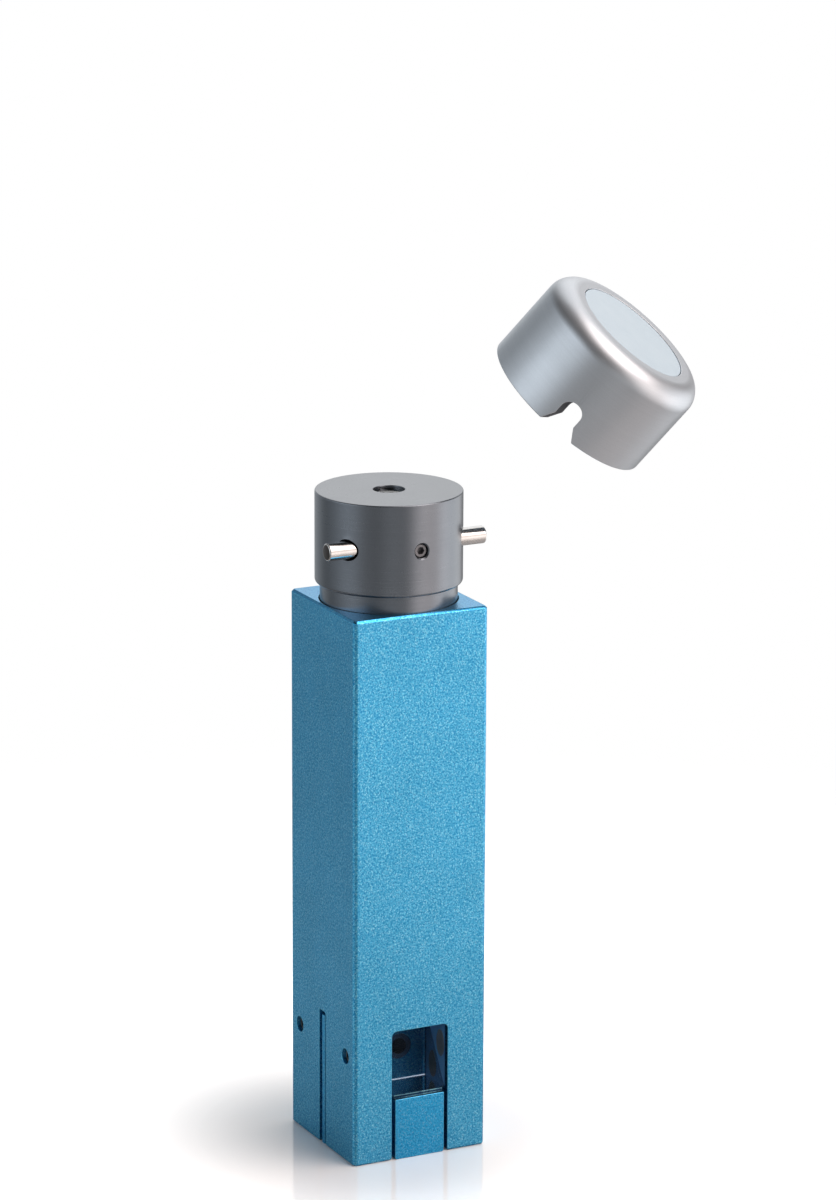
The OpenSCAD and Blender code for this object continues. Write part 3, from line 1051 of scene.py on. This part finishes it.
def dress_node(node: str, finish: Finish) -> None:
    """Puts a finish on every slot of a CAD node that stays shown.

    Args:
        node: Name of the node.
        finish: The finish.
    """
    for place in frame["nodes"][node].material_slots:
        place.material = finish.material()
    log.info("node %s keeps its own mesh", node)


def milled(normal: Vector, _middle: Vector) -> int:
    """Which finish an anodised face has: faces that look up are smoother."""
    return int(normal.z > FACING)


@dataclass(frozen=True)
class BodyFaces:
    """Tells which finish a face of the body has: walls inside that look along X get painted shade."""

    skin: float  # distance from the middle, outside which a face is the body's own skin
    top: float  # height up to which the walls get painted shade

    def __call__(self, normal: Vector, middle: Vector) -> int:
        """Gives the finish's number from the face's normal and its middle."""
        inside = max(abs(middle.x), abs(middle.y)) < self.skin and middle.z < self.top
        return 2 if inside and abs(normal.x) > FACING else milled(normal, middle)


@dataclass(frozen=True)
class HolderFaces:
    """Tells which finish a holder's face has: the step under the glass gets painted shade."""

    front: float  # distance of the step's outer edge from the middle
    sill: float  # height of the step

    def __call__(self, normal: Vector, middle: Vector) -> int:
        """Gives the finish's number from the face's normal and its middle."""
        return 2 if abs(middle.y) < self.front and middle.z > self.sill else milled(normal, middle)


@dataclass(frozen=True)
class SetScrew:
    """A headless screw with a hexagon socket."""

    diameter: float
    pitch: float
    thread: float  # depth of the thread
    socket_d: float  # across the socket's corners
    socket_depth: float

    def solid(self, length: float) -> Solid:
        """Builds the screw along Z, with its inner end at Z = 0.

        Args:
            length: Length of the screw.

        Returns:
            The screw.
        """
        rod = Solid.threaded(self.diameter / 2, self.pitch, self.thread, length)
        floor = length - self.socket_depth
        return rod.cut(Solid.cylinder(self.socket_d / 2, floor, length + OVERRUN, HEXAGON))


@dataclass
class BodyBlock:
    """The square anodised block with its windows, slits, recess and chamber."""

    corner_r: float = 0.4
    top_chamfer: float = 0.2
    chamfer_round: float = 0.04
    base_round: float = 0.22
    cut_round: float = 0.06
    window_w: float = 5.3
    window_top: float = 11.575
    window_r: float = 0.45
    slit_w: float = 1.24
    slit_h: float = 12.1
    slit_r: float = 0.2
    foot_r: float = 0.25
    recess_d: float = 11.8
    recess_depth: float = RECESS_DEPTH
    chamber_d: float = 9.0
    web_t: float = 2.6
    fibre_hole_d: float = 2.24
    fibre_y: float = 2.975
    screw_hole_d: float = 1.34
    screw_y: float = SCREW_Y
    screw_z: float = SCREW_Z
    # How far in, and how high, the inner walls get painted shade.
    painted_shade_inset: float = 0.12
    painted_shade_top: float = 40.0

    def _ring(self, half: float, inset: float, z: float) -> list[Vector]:
        """The block's outline at a height, drawn in by some amount.

        Args:
            half: Half the block's width.
            inset: How far the outline is drawn in.
            z: The height.

        Returns:
            The outline's points, in order.
        """
        centre, r = half - self.corner_r, self.corner_r - inset
        ring = []
        for start, (x, y) in zip((0, 90, 180, 270), ((1, 1), (-1, 1), (-1, -1), (1, -1))):
            corner = arc(x * centre, y * centre, r, start, start + 90, 8)
            ring += [Vector((u, v, z)) for u, v in corner]
        return ring

    def _blank(self, half: float, height: float) -> Solid:
        """The plain block: round base edges, and a flat chamfer round the top.

        Args:
            half: Half the block's width.
            height: The block's height.

        Returns:
            The block.
        """
        c, soft, r = self.top_chamfer, self.chamfer_round, self.base_round
        middle = soft * SOFT_MIDDLE
        section = [(r - inset_x, z) for inset_x, z in arc(0, r, r, -90, 0, 5)]
        section += [
            (0, height - c - soft), (middle, height - c + middle),
            (c - middle, height - middle), (c + soft, height),
        ]
        return Solid.lofted([self._ring(half, inset, z) for inset, z in section])

    def _channel(self, width: float, top: float, r: float) -> Outline:
        """A channel that is open below, with round corners above and below.

        Args:
            width: Width of the channel.
            top: Height of the channel.
            r: Radius of its upper corners.

        Returns:
            The outline.
        """
        half, foot = width / 2, self.foot_r
        right = [(half + foot, -OVERRUN), *arc(half + foot, foot, foot, 270, 180, 5)]
        left = [(-y, z) for y, z in reversed(right)]
        above = [*arc(half - r, top - r, r, 0, 90, 6), *arc(r - half, top - r, r, 90, 180, 6)]
        return [*right, *above, *left]

    def build(self) -> None:
        """Builds the block and shows it in the body's place."""
        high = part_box("body")[1]
        half, height = high.x / MM, high.z / MM
        reach, recess_floor = half + OVERRUN, height - self.recess_depth
        web_top = self.window_top + self.web_t
        window = self._channel(self.window_w, self.window_top, self.window_r)
        slit = self._channel(self.slit_w, self.slit_h, self.slit_r)
        tools = [
            Solid.extruded(window, -reach, reach, Axis.Y),
            Solid.extruded(slit, -reach, reach, Axis.X),
            Solid.cylinder(self.recess_d / 2, recess_floor, height + OVERRUN, TURN_STEPS),
            Solid.cylinder(self.chamber_d / 2, web_top, recess_floor + OVERRUN, TURN_STEPS),
        ]
        fibre_r, fibre_base = self.fibre_hole_d / 2, self.window_top - OVERRUN
        for side in (-1, 1):
            fibre_hole = Solid.cylinder(fibre_r, fibre_base, web_top + OVERRUN)
            tools.append(fibre_hole.moved(at(0, side * self.fibre_y, 0)))
            screw_hole = Solid.cylinder(self.screw_hole_d / 2, -reach, reach)
            tools.append(screw_hole.moved(at(0, side * self.screw_y, self.screw_z) @ turn(90, "Y")))
        # Walls inside that look along X get the painted shade finish.
        self._blank(half, height).cut(*tools).softened(self.cut_round).piece(
            "body_block", "body", BODY_BLUE, DECK_BLUE, INNER_WALL_SHADE,
            pick=BodyFaces(half - self.painted_shade_inset, self.painted_shade_top),
        )


class Facing(Enum):
    """The window that an optical end looks out of."""

    FRONT = "front"
    REAR = "rear"


@dataclass
class PrismStage:
    """One of the two optical ends: a holder, its prism and the prism's coats."""

    facing: Facing
    tongue_w: float = 4.65
    groove_depth: float = 1.1
    sill_z: float = 5.425
    bevel: float = 0.05
    seat_gap: float = 0.02
    foot_r: float = 0.2
    edge_round: float = 0.05

    def _section(self, front: float) -> Outline:
        """The holder's section across X, from a given front face.

        Args:
            front: Place of the front face along Y.

        Returns:
            The outline, in Y and Z.
        """
        prism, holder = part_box("front_prism"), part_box("front_prism_holder")
        seat_y, seat_z, back = prism[0].y / MM, prism[0].z / MM, holder[1].y / MM
        outline = [(front, 0), (back, 0), (back, seat_z + back - seat_y)]
        if front < seat_y:
            return [*outline, (seat_y, seat_z), (seat_y, self.sill_z), (front, self.sill_z)]
        return [*outline, (front, seat_z + front - seat_y)]

    def _prism_outline(self) -> Outline:
        """The prism's section across X, with its sharp edges cut off flat.

        Returns:
            The outline, in Y and Z.
        """
        low, high = span("front_prism")
        b, lift = self.bevel, self.seat_gap
        return [
            (low.y, low.z + b), (low.y + b, low.z + b + lift),
            (high.y, low.z + high.y - low.y + lift), (high.y, high.z),
            (low.y + b, high.z), (low.y, high.z - b),
        ]

    @staticmethod
    def _prism_face(normal: Vector, _middle: Vector) -> int:
        """Which finish a prism's face has: the sides, the slope, the upper bevel or the rest.

        Args:
            normal: The face's normal.
            _middle: Its middle, which makes no difference.

        Returns:
            The finish's number.
        """
        away, steep, slight = abs(normal.y), 0.6, 0.2
        if abs(normal.x) > FACING:
            return 1
        if normal.z < -steep and away > steep:
            return 2
        return 3 if away > slight and normal.z > slight else 0

    def build(self) -> None:
        """Builds the holder and the prism of this end."""
        name = self.facing.value
        side = Matrix.Identity(4) if self.facing is Facing.FRONT else Matrix.Scale(-1, 4, (0, 1, 0))
        low, high = span("front_prism_holder")
        tongue = Solid.extruded(self._section(low.y), -self.tongue_w / 2, self.tongue_w / 2, Axis.X)
        guide = Solid.extruded(self._section(low.y + self.groove_depth), low.x, high.x, Axis.X)
        holder = tongue.fused(guide).softened(
            self.foot_r, 4, lambda a, b: abs(a.z) + abs(b.z) < WELD and abs(a.x - b.x) < WELD
        ).softened(self.edge_round)
        # The step under the glass gets the painted shade finish.
        holder.moved(side).piece(
            f"{name}_holder_block", f"{name}_prism_holder", HOLDER_BLUE, DECK_BLUE, STEP_SHADE,
            pick=HolderFaces(-low.y - 2 * self.edge_round, self.sill_z - self.edge_round),
        )
        low, high = span("front_prism")
        prism = Solid.extruded(self._prism_outline(), low.x, high.x, Axis.X)
        prism.moved(side).piece(
            f"{name}_prism_glass", f"{name}_prism", QUARTZ, GROUND_QUARTZ, MIRROR_COAT, GROUND_BEVEL_GLOW,
            pick=self._prism_face,
        )


@dataclass
class Clamping:
    """The divider plate, and the side screws and pads that hold the prisms."""

    edge_round: float = 0.05
    pad_round: float = 0.02
    screw: SetScrew = SetScrew(1.3, 0.3, 0.09, 0.7, 0.7)
    inner_x: float = 2.63
    pad_x: float = 2.54
    pad_d: float = 2.4
    screw_y: float = SCREW_Y
    screw_z: float = SCREW_Z

    def _at_each_place(self, solid: Solid, start: float) -> Solid:
        """Copies a part that lies along Z to the four screws' places.

        Args:
            solid: The part, with its inner end at Z = 0.
            start: Distance of its inner end from the middle plane.

        Returns:
            The four copies as one solid.
        """
        copies = [
            solid.copy().moved(at(side * start, y, self.screw_z) @ turn(side * 90, "Y"))
            for side in (-1, 1) for y in (-self.screw_y, self.screw_y)
        ]
        return copies[0].joined(*copies[1:])

    def build(self) -> None:
        """Builds the plate, the four screws and their pads."""
        plate = Solid.box(*span("divider_plate")).softened(self.edge_round)
        plate.piece("divider_strip", "divider_plate", HOLDER_BLUE)
        outer_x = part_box("side_set_screws")[1].x / MM
        screws = self._at_each_place(self.screw.solid(outer_x - self.inner_x), self.inner_x)
        screws.piece("threaded_side_screws", "side_set_screws", SCREW_STEEL)
        disc = Solid.cylinder(self.pad_d / 2, 0, self.inner_x - self.pad_x).softened(self.pad_round)
        self._at_each_place(disc, self.pad_x).piece("round_pads", "clamp_pads", PAD_GREY)


@dataclass
class Head:
    """The round head with its neck, seal, cross pin and lock screw."""

    edge_round: float = 0.05
    lower_chamfer: float = 0.3
    upper_round: float = 0.12
    neck_d: float = 11.64
    neck_h: float = 1.45
    seal_t: float = 0.5
    seal_play: float = 0.04
    recess_depth: float = RECESS_DEPTH
    spigot_d: float = 8.96
    bore_d: float = 3.2
    well_d: float = 2.7
    well_depth: float = 0.25
    pin_hole_d: float = 1.52
    mouth_d: float = 1.85
    mouth_depth: float = 1.5
    pin_chamfer: float = 0.12
    pin_steps: int = 96
    lock: SetScrew = SetScrew(1.2, 0.3, 0.08, 0.7, 0.5)
    lock_hole_d: float = 1.24
    lock_chamfer: float = 0.12
    lock_twist: float = 1.7  # degrees that keep the lock hole's facets off the pin hole's

    def _profile(self) -> Outline:
        """Half of the head's section, with its edges rounded.

        Returns:
            The outline, in radius and height.
        """
        low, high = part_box("head")
        r, top, base = high.x / MM, high.z / MM, low.z / MM
        body_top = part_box("body")[1].z / MM
        under = body_top + self.neck_h
        neck_base = body_top - self.recess_depth + self.seal_t
        neck_r, spigot_r = self.neck_d / 2, self.spigot_d / 2
        bore_r, well_r = self.bore_d / 2, self.well_d / 2
        c, u = self.lower_chamfer, self.upper_round
        return [
            (bore_r, base), (spigot_r, base), (spigot_r, neck_base), (neck_r, neck_base),
            (neck_r, under), (r - c, under),
            *arc(r - c, under + c, c, -70, 0, 5),
            *arc(r - u, top - u, u, 0, 90, 4),
            *arc(well_r + u / 2, top - u / 2, u / 2, 90, 180, 3),
            (well_r, top - self.well_depth), (bore_r, top - self.well_depth),
        ]

    def _pin_tool(self, r: float, y: float, z: float) -> Solid:
        """The cutter for the pin's hole, which widens at both mouths.

        Args:
            r: Radius of the head.
            y: Place of the pin along Y.
            z: Height of the pin.

        Returns:
            The cutter.
        """
        end, step = r + OVERRUN, math.sqrt(r * r - y * y) - self.mouth_depth
        hole_r, mouth_r = self.pin_hole_d / 2, self.mouth_d / 2
        half = [(hole_r, step), (mouth_r, step), (mouth_r, end), (0, end)]
        tool = Solid.turned([(u, -v) for u, v in reversed(half)] + half, HOLE_STEPS)
        return tool.moved(at(0, y, z) @ turn(90, "Y"))

    def _lock_tool(self, r: float, y: float, to_front: Matrix) -> Solid:
        """The cutter for the lock screw's hole, with a chamfer at its mouth.

        Args:
            r: Radius of the head.
            y: Place of the pin along Y.
            to_front: Turns Z to the front, at the pin's height.

        Returns:
            The cutter.
        """
        hole_r, c = self.lock_hole_d / 2, self.lock_chamfer
        profile = [(0, -y), (hole_r, -y), (hole_r, r - c), (hole_r + 2 * c, r + c), (0, r + c)]
        return Solid.turned(profile, HOLE_STEPS).moved(to_front @ turn(self.lock_twist, "Z"))

    def build(self) -> None:
        """Builds the head and the pieces that it carries."""
        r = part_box("head")[1].x / MM
        pin_low, pin_high = span("cross_pin")
        pin = (pin_low + pin_high) / 2
        to_front = at(0, 0, pin.z) @ turn(90, "X")
        tools = [self._pin_tool(r, pin.y, pin.z), self._lock_tool(r, pin.y, to_front)]
        Solid.turned(self._profile()).cut(*tools).piece("turned_head", "head", HEAD_GREY, walls=(r,))
        self._build_seal()
        self._build_pin(pin, pin_high)
        self._build_lock_screw(to_front)

    def _build_seal(self) -> None:
        """The flat ring under the neck."""
        low, high = span("neck_seal")
        ring = Solid.tube((self.spigot_d + self.seal_play) / 2, high.x, low.z, high.z)
        ring.softened(self.edge_round).piece("neck_seal_ring", "neck_seal", SEAL_RUBBER)

    def _build_pin(self, centre: Vector, high: Vector) -> None:
        """The ground cross pin, turned about its own axis.

        Args:
            centre: The pin's middle.
            high: Its highest corner.
        """
        r, half, c = high.z - centre.z, high.x, self.pin_chamfer
        lower, upper = arc(r - c, -half + c, c, -90, 0, 4), arc(r - c, half - c, c, 0, 90, 4)
        # The end faces get the painted dark reflection.
        Solid.turned([(0, -half), *lower, *upper, (0, half)], self.pin_steps).piece(
            "ground_cross_pin", "cross_pin", PIN_STEEL, PIN_END_DARK,
            place=Matrix.Translation(centre * MM) @ turn(90, "Y"),
            pick=lambda normal, _middle: int(abs(normal.z) > WALL_LEAN),
        )

    def _build_lock_screw(self, to_front: Matrix) -> None:
        """The small screw that locks the pin from the front.

        Args:
            to_front: Turns Z to the front, at the pin's height.
        """
        low, high = span("pin_lock_screw")
        screw = self.lock.solid(high.y - low.y).moved(to_front @ at(0, 0, -high.y))
        screw.piece("threaded_lock_screw", "pin_lock_screw", LOCK_STEEL)


@dataclass
class FibreTrain:
    """The quartz tip, its ferrule and the two fibre legs inside the body."""

    plain: tuple[tuple[Finish, tuple[str, ...]], ...] = (
        (QUARTZ, ("tip_window",)),
        (FIBRE_BLACK, ("tip_bundle", "front_fibre_leg", "rear_fibre_leg")),
        (FERRULE_STEEL, ("tip_ferrule", "junction_sleeve", "front_leg_ferrule", "rear_leg_ferrule")),
    )

    def build(self) -> None:
        """Gives the hidden pieces their finishes."""
        for finish, nodes in self.plain:
            for node in nodes:
                dress_node(node, finish)


@dataclass
class Cap:
    """The mirror cap, held in its own tilted frame beside the head."""

    spin: float = 71.6
    steps: int = 192
    outer_d: float = 15.45
    height: float = 8.6
    shoulder_r: float = 1.8
    bore_d: float = 12.7
    bore_depth: float = 6.05
    rim_round: float = 0.1
    edge_round: float = 0.05
    notch_y: float = -3.1
    notch_z: float = 2.05
    notch_w: float = 1.8
    lead_in_w: float = 3.05
    lead_in_h: float = 1.2
    disc_d: float = 10.5
    disc_recess: float = 0.4
    disc_gap: float = 0.06
    disc_t: float = 0.35
    mirror_d: float = 6.0
    mirror_t: float = 0.8
    path_t: float = 0.2
    path_ring_w: float = 0.8
    pocket_gap: float = 0.02
    wall_edge: float = 0.15

    def _place(self) -> Matrix:
        """The cap's frame: its origin is the rim's centre, +Z runs to its top.

        Returns:
            The frame, in metres.
        """
        bore = next(mount for mount in frame["record"]["mounts"] if mount["name"] == "cap_bore")
        inward = -Vector(bore["axis"])
        lean = Matrix.Rotation(math.atan2(inward.y, inward.x), 4, "Z")
        tilt = Matrix.Rotation(math.acos(inward.normalized().z), 4, "Y")
        centre = Vector(bore["pos_m"]) - inward * (self.bore_depth / 2 * MM)
        return Matrix.Translation(centre) @ (lean @ tilt @ turn(self.spin, "Z"))

    def _profile(self) -> Outline:
        """Half of the cap's section.

        Returns:
            The outline, in radius and height.
        """
        r, s, c = self.outer_d / 2, self.shoulder_r, self.rim_round
        floor = self.height - self.disc_recess
        pocket_r = self.mirror_d / 2 + self.pocket_gap
        pocket_top = self.bore_depth + self.path_t + self.mirror_t
        return [
            *arc(r - c, c, c, -90, 0, 3),
            *arc(r - s, self.height - s, s, 0, 90, 18),
            (self.disc_d / 2, self.height), (self.disc_d / 2, floor), (0, floor),
            (0, pocket_top), (pocket_r, pocket_top), (pocket_r, self.bore_depth),
            (self.bore_d / 2, self.bore_depth), (self.bore_d / 2, 0),
        ]

    def _notch_outline(self) -> Outline:
        """The slot that drops over the pin, with its wider lead-in.

        Returns:
            The outline, in Y and Z.
        """
        half, lead = self.notch_w / 2, self.lead_in_w / 2
        outline = [
            (-lead, -OVERRUN), (lead, -OVERRUN), (lead, 0), (half, self.lead_in_h),
            *arc(0, self.notch_z, half, 0, 180, 16), (-half, self.lead_in_h), (-lead, 0),
        ]
        return [(self.notch_y + y, z) for y, z in outline]

    def _face(self, normal: Vector, middle: Vector) -> int:
        """Which finish a face of the shell has: the notches' walls get painted shade.

        Args:
            normal: The face's normal.
            middle: Its middle, in millimetres.

        Returns:
            The finish's number.
        """
        across, edge = Vector((middle.x, middle.y, 0)).length, self.wall_edge
        in_wall = self.bore_d / 2 + edge < across < self.outer_d / 2 - edge
        in_notch_shade = in_wall and middle.z < self.notch_z + self.notch_w
        return int(in_notch_shade and abs(normal.y) > abs(normal.z))

    def build(self) -> None:
        """Builds the cap and what is set into it."""
        place, reach = self._place(), self.outer_d / 2 + OVERRUN
        notches = Solid.extruded(self._notch_outline(), -reach, reach, Axis.X)
        shell = Solid.turned(self._profile(), self.steps).cut(notches).softened(self.edge_round)
        # The notches' walls get the painted shade finish.
        shell.piece("turned_cap", "cap", CAP_SILVER, NOTCH_WALL_SHADE, place=place, pick=self._face)
        base, disc_r = self.height - self.disc_recess, self.disc_d / 2 - self.disc_gap
        disc = Solid.cylinder(disc_r, base, base + self.disc_t, TURN_STEPS).softened(self.edge_round)
        disc.piece("lacquered_disc", "cap_disc", DISC_WHITE, place=place)
        seat, outer = self.bore_depth + self.path_t, self.mirror_d / 2
        mirror = Solid.cylinder(outer, seat, seat + self.mirror_t, TURN_STEPS)
        mirror.softened(self.edge_round).piece("round_mirror", "cap_mirror", CAP_MIRROR, place=place)
        ring = Solid.tube(outer - self.path_ring_w, outer, self.bore_depth, seat)
        ring.softened(self.edge_round / 2).piece("spacer_ring", "path_ring", FERRULE_STEEL, place=place)


# ---- studio ----

WARM_WHITE: Colour = (1.14, 1.0, 0.94)
COOL_WHITE: Colour = (0.92, 0.98, 1.03)


@dataclass(frozen=True)
class Softbox:
    """A soft patch of light in the world around the object."""

    azimuth: float  # degrees from +X towards +Y
    elevation: float  # degrees above the table
    strength: float
    colour: Colour = WHITE
    core: float = 4.0  # angle from its middle at which it starts to fade
    reach: float = 34.0  # angle from its middle at which it is gone

    def light(self, graph: Graph, direction: Socket) -> Socket:
        """The light that it sends from a direction.

        Args:
            graph: The world's graph.
            direction: The direction that is looked in.

        Returns:
            The light's socket.
        """
        az, el = math.radians(self.azimuth), math.radians(self.elevation)
        middle = Vector((math.cos(az) * math.cos(el), math.sin(az) * math.cos(el), math.sin(el)))
        near = graph.vector("DOT_PRODUCT", Vector=direction, Vector_001=tuple(middle))
        fade, core = math.cos(math.radians(self.reach)), math.cos(math.radians(self.core))
        patch = graph.spread(near, fade, core, 0.0, self.strength, smooth=True)
        return graph.vector("SCALE", Vector=self.colour, Scale=patch)


@dataclass
class Studio:
    """The camera, the pale floor and the light."""

    lens: float = 141.03
    clip: tuple[float, float] = (0.01, 20.0)  # metres
    azimuth: float = -26.685
    elevation: float = 14.683
    roll: float = 0.241
    distance: float = 408.18
    aim_right: float = 2.664
    aim_up: float = 46.17
    dim: Colour = (0.03, 0.03, 0.03)
    softboxes: tuple[Softbox, ...] = (
        Softbox(-45, 48, 3.1, WARM_WHITE, core=6, reach=42),
        Softbox(45, 48, 1.1, core=6, reach=42),
        Softbox(60, 10, 0.68),
        Softbox(90, 10, 0.2, COOL_WHITE),
        Softbox(120, 10, 0.22, COOL_WHITE),
        Softbox(150, 10, 0.58, COOL_WHITE),
        Softbox(180, 10, 1.15, COOL_WHITE),
        Softbox(300, 10, 0.76, WARM_WHITE),
        Softbox(0, -20, 1.39, core=5, reach=42),
        Softbox(90, -20, 0.3, COOL_WHITE, core=5, reach=42),
        Softbox(180, -20, 0.1, core=5, reach=42),
        Softbox(225, -20, 0.27, core=5, reach=42),
        Softbox(270, -20, 0.33, core=5, reach=42),
        Softbox(-45, -20, 0.92, WARM_WHITE, core=5, reach=42),
    )
    floor_radius: float = 160.0
    floor_sides: int = 96
    rim_fade: tuple[float, float] = (0.22, 0.75)  # shares of the radius
    floor_lift: tuple[float, float] = (0.03, 0.5)  # glow near the object and away from it
    lift_reach: tuple[float, float] = (9.0, 26.0)
    floor_colour: Colour = (0.92, 0.92, 0.92)
    floor_bounce: Colour = (0.45, 0.45, 0.45)
    floor_roughness: float = 0.1
    floor_index: float = 1.5

    def _camera(self) -> None:
        """Places the camera at the height and angle of a table-top view."""
        az, el, roll = (math.radians(a) for a in (self.azimuth, self.elevation, self.roll))
        right = Vector((math.cos(az), math.sin(az), 0))
        back = Vector((math.sin(az) * math.cos(el), -math.cos(az) * math.cos(el), math.sin(el)))
        up = back.cross(right)
        turned_right = right * math.cos(roll) + up * math.sin(roll)
        turned_up = up * math.cos(roll) - right * math.sin(roll)
        data = bpy.data.cameras.new("camera")
        data.lens = self.lens
        data.clip_start, data.clip_end = self.clip
        camera = linked("camera", data)
        place = turned_right * self.aim_right + turned_up * self.aim_up + back * self.distance
        rotation = Matrix((turned_right, turned_up, back)).transposed().to_4x4()
        camera.matrix_world = Matrix.Translation(place * MM) @ rotation
        bpy.context.scene.camera = camera

    def _world(self) -> None:
        """Builds the light around the object, and white for the camera and through glass."""
        bpy.context.scene.world = world = bpy.data.worlds.new("studio")
        graph = Graph.of(world)
        direction = graph.node("TexCoord").outputs["Generated"]
        light: object = self.dim
        for box in self.softboxes:
            light = graph.mix(1.0, light, box.light(graph, direction), "ADD")
        path = graph.node("LightPath").outputs
        clear = graph.math("MAXIMUM", path["Is Camera Ray"], path["Is Transmission Ray"])
        shown = graph.node("Background", {"Color": graph.mix(clear, light, WHITE), "Strength": 1.0})
        graph.put(graph.node("OutputWorld").inputs["Surface"], shown.outputs[0])

    def _sheet(self) -> bpy.types.Material:
        """The floor's glossy white, which gives way to what is behind it at the rim.

        Returns:
            The material.
        """
        material = bpy.data.materials.new("white sheet")
        graph = Graph.of(material)
        radius = graph.vector("LENGTH", Vector=graph.place())
        fade = (share * self.floor_radius for share in self.rim_fade)
        rim = graph.spread(radius, *fade, 0.0, 1.0, smooth=True)
        seen = graph.node("LightPath").outputs["Is Camera Ray"]
        lift = graph.spread(radius, *self.lift_reach, *self.floor_lift, smooth=True)
        sheet = graph.surface(
            base_color=graph.mix(seen, self.floor_bounce, self.floor_colour),
            roughness=self.floor_roughness, ior=self.floor_index,
            emission_color=WHITE, emission_strength=graph.math("MULTIPLY", seen, lift),
        )
        faded = graph.node("MixShader", {"Fac": rim})
        graph.put(faded.inputs[1], sheet)
        graph.put(faded.inputs[2], graph.node("BsdfTransparent").outputs[0])
        graph.put(graph.node("OutputMaterial").inputs["Surface"], faded.outputs[0])
        return material

    def _floor(self) -> None:
        """A round sheet under the object."""
        mesh = bpy.data.meshes.new("floor")
        bm = bmesh.new()
        radius = self.floor_radius * MM
        bmesh.ops.create_circle(bm, cap_ends=True, radius=radius, segments=self.floor_sides)
        bm.to_mesh(mesh)
        bm.free()
        mesh.materials.append(self._sheet())
        linked("floor", mesh)

    def build(self) -> None:
        """Sets up the camera, the light and the floor."""
        self._camera()
        self._world()
        self._floor()
        bpy.context.scene.view_settings.view_transform = "Standard"
        log.info("studio with %d softboxes", len(self.softboxes))


def corners(bounds: tuple[Vector, Vector]) -> list[list[float]]:
    """Two corners as plain lists of numbers."""
    return [list(corner) for corner in bounds]


def main() -> None:
    """Dresses the frame, sub-assembly by sub-assembly."""
    logging.basicConfig(level=logging.INFO, format="%(name)s: %(message)s")
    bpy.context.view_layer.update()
    ends = [PrismStage(facing) for facing in Facing]
    for part in (Studio(), BodyBlock(), *ends, Clamping(), Head(), FibreTrain(), Cap()):
        part.build()


if __name__ == "__main__":
    main()
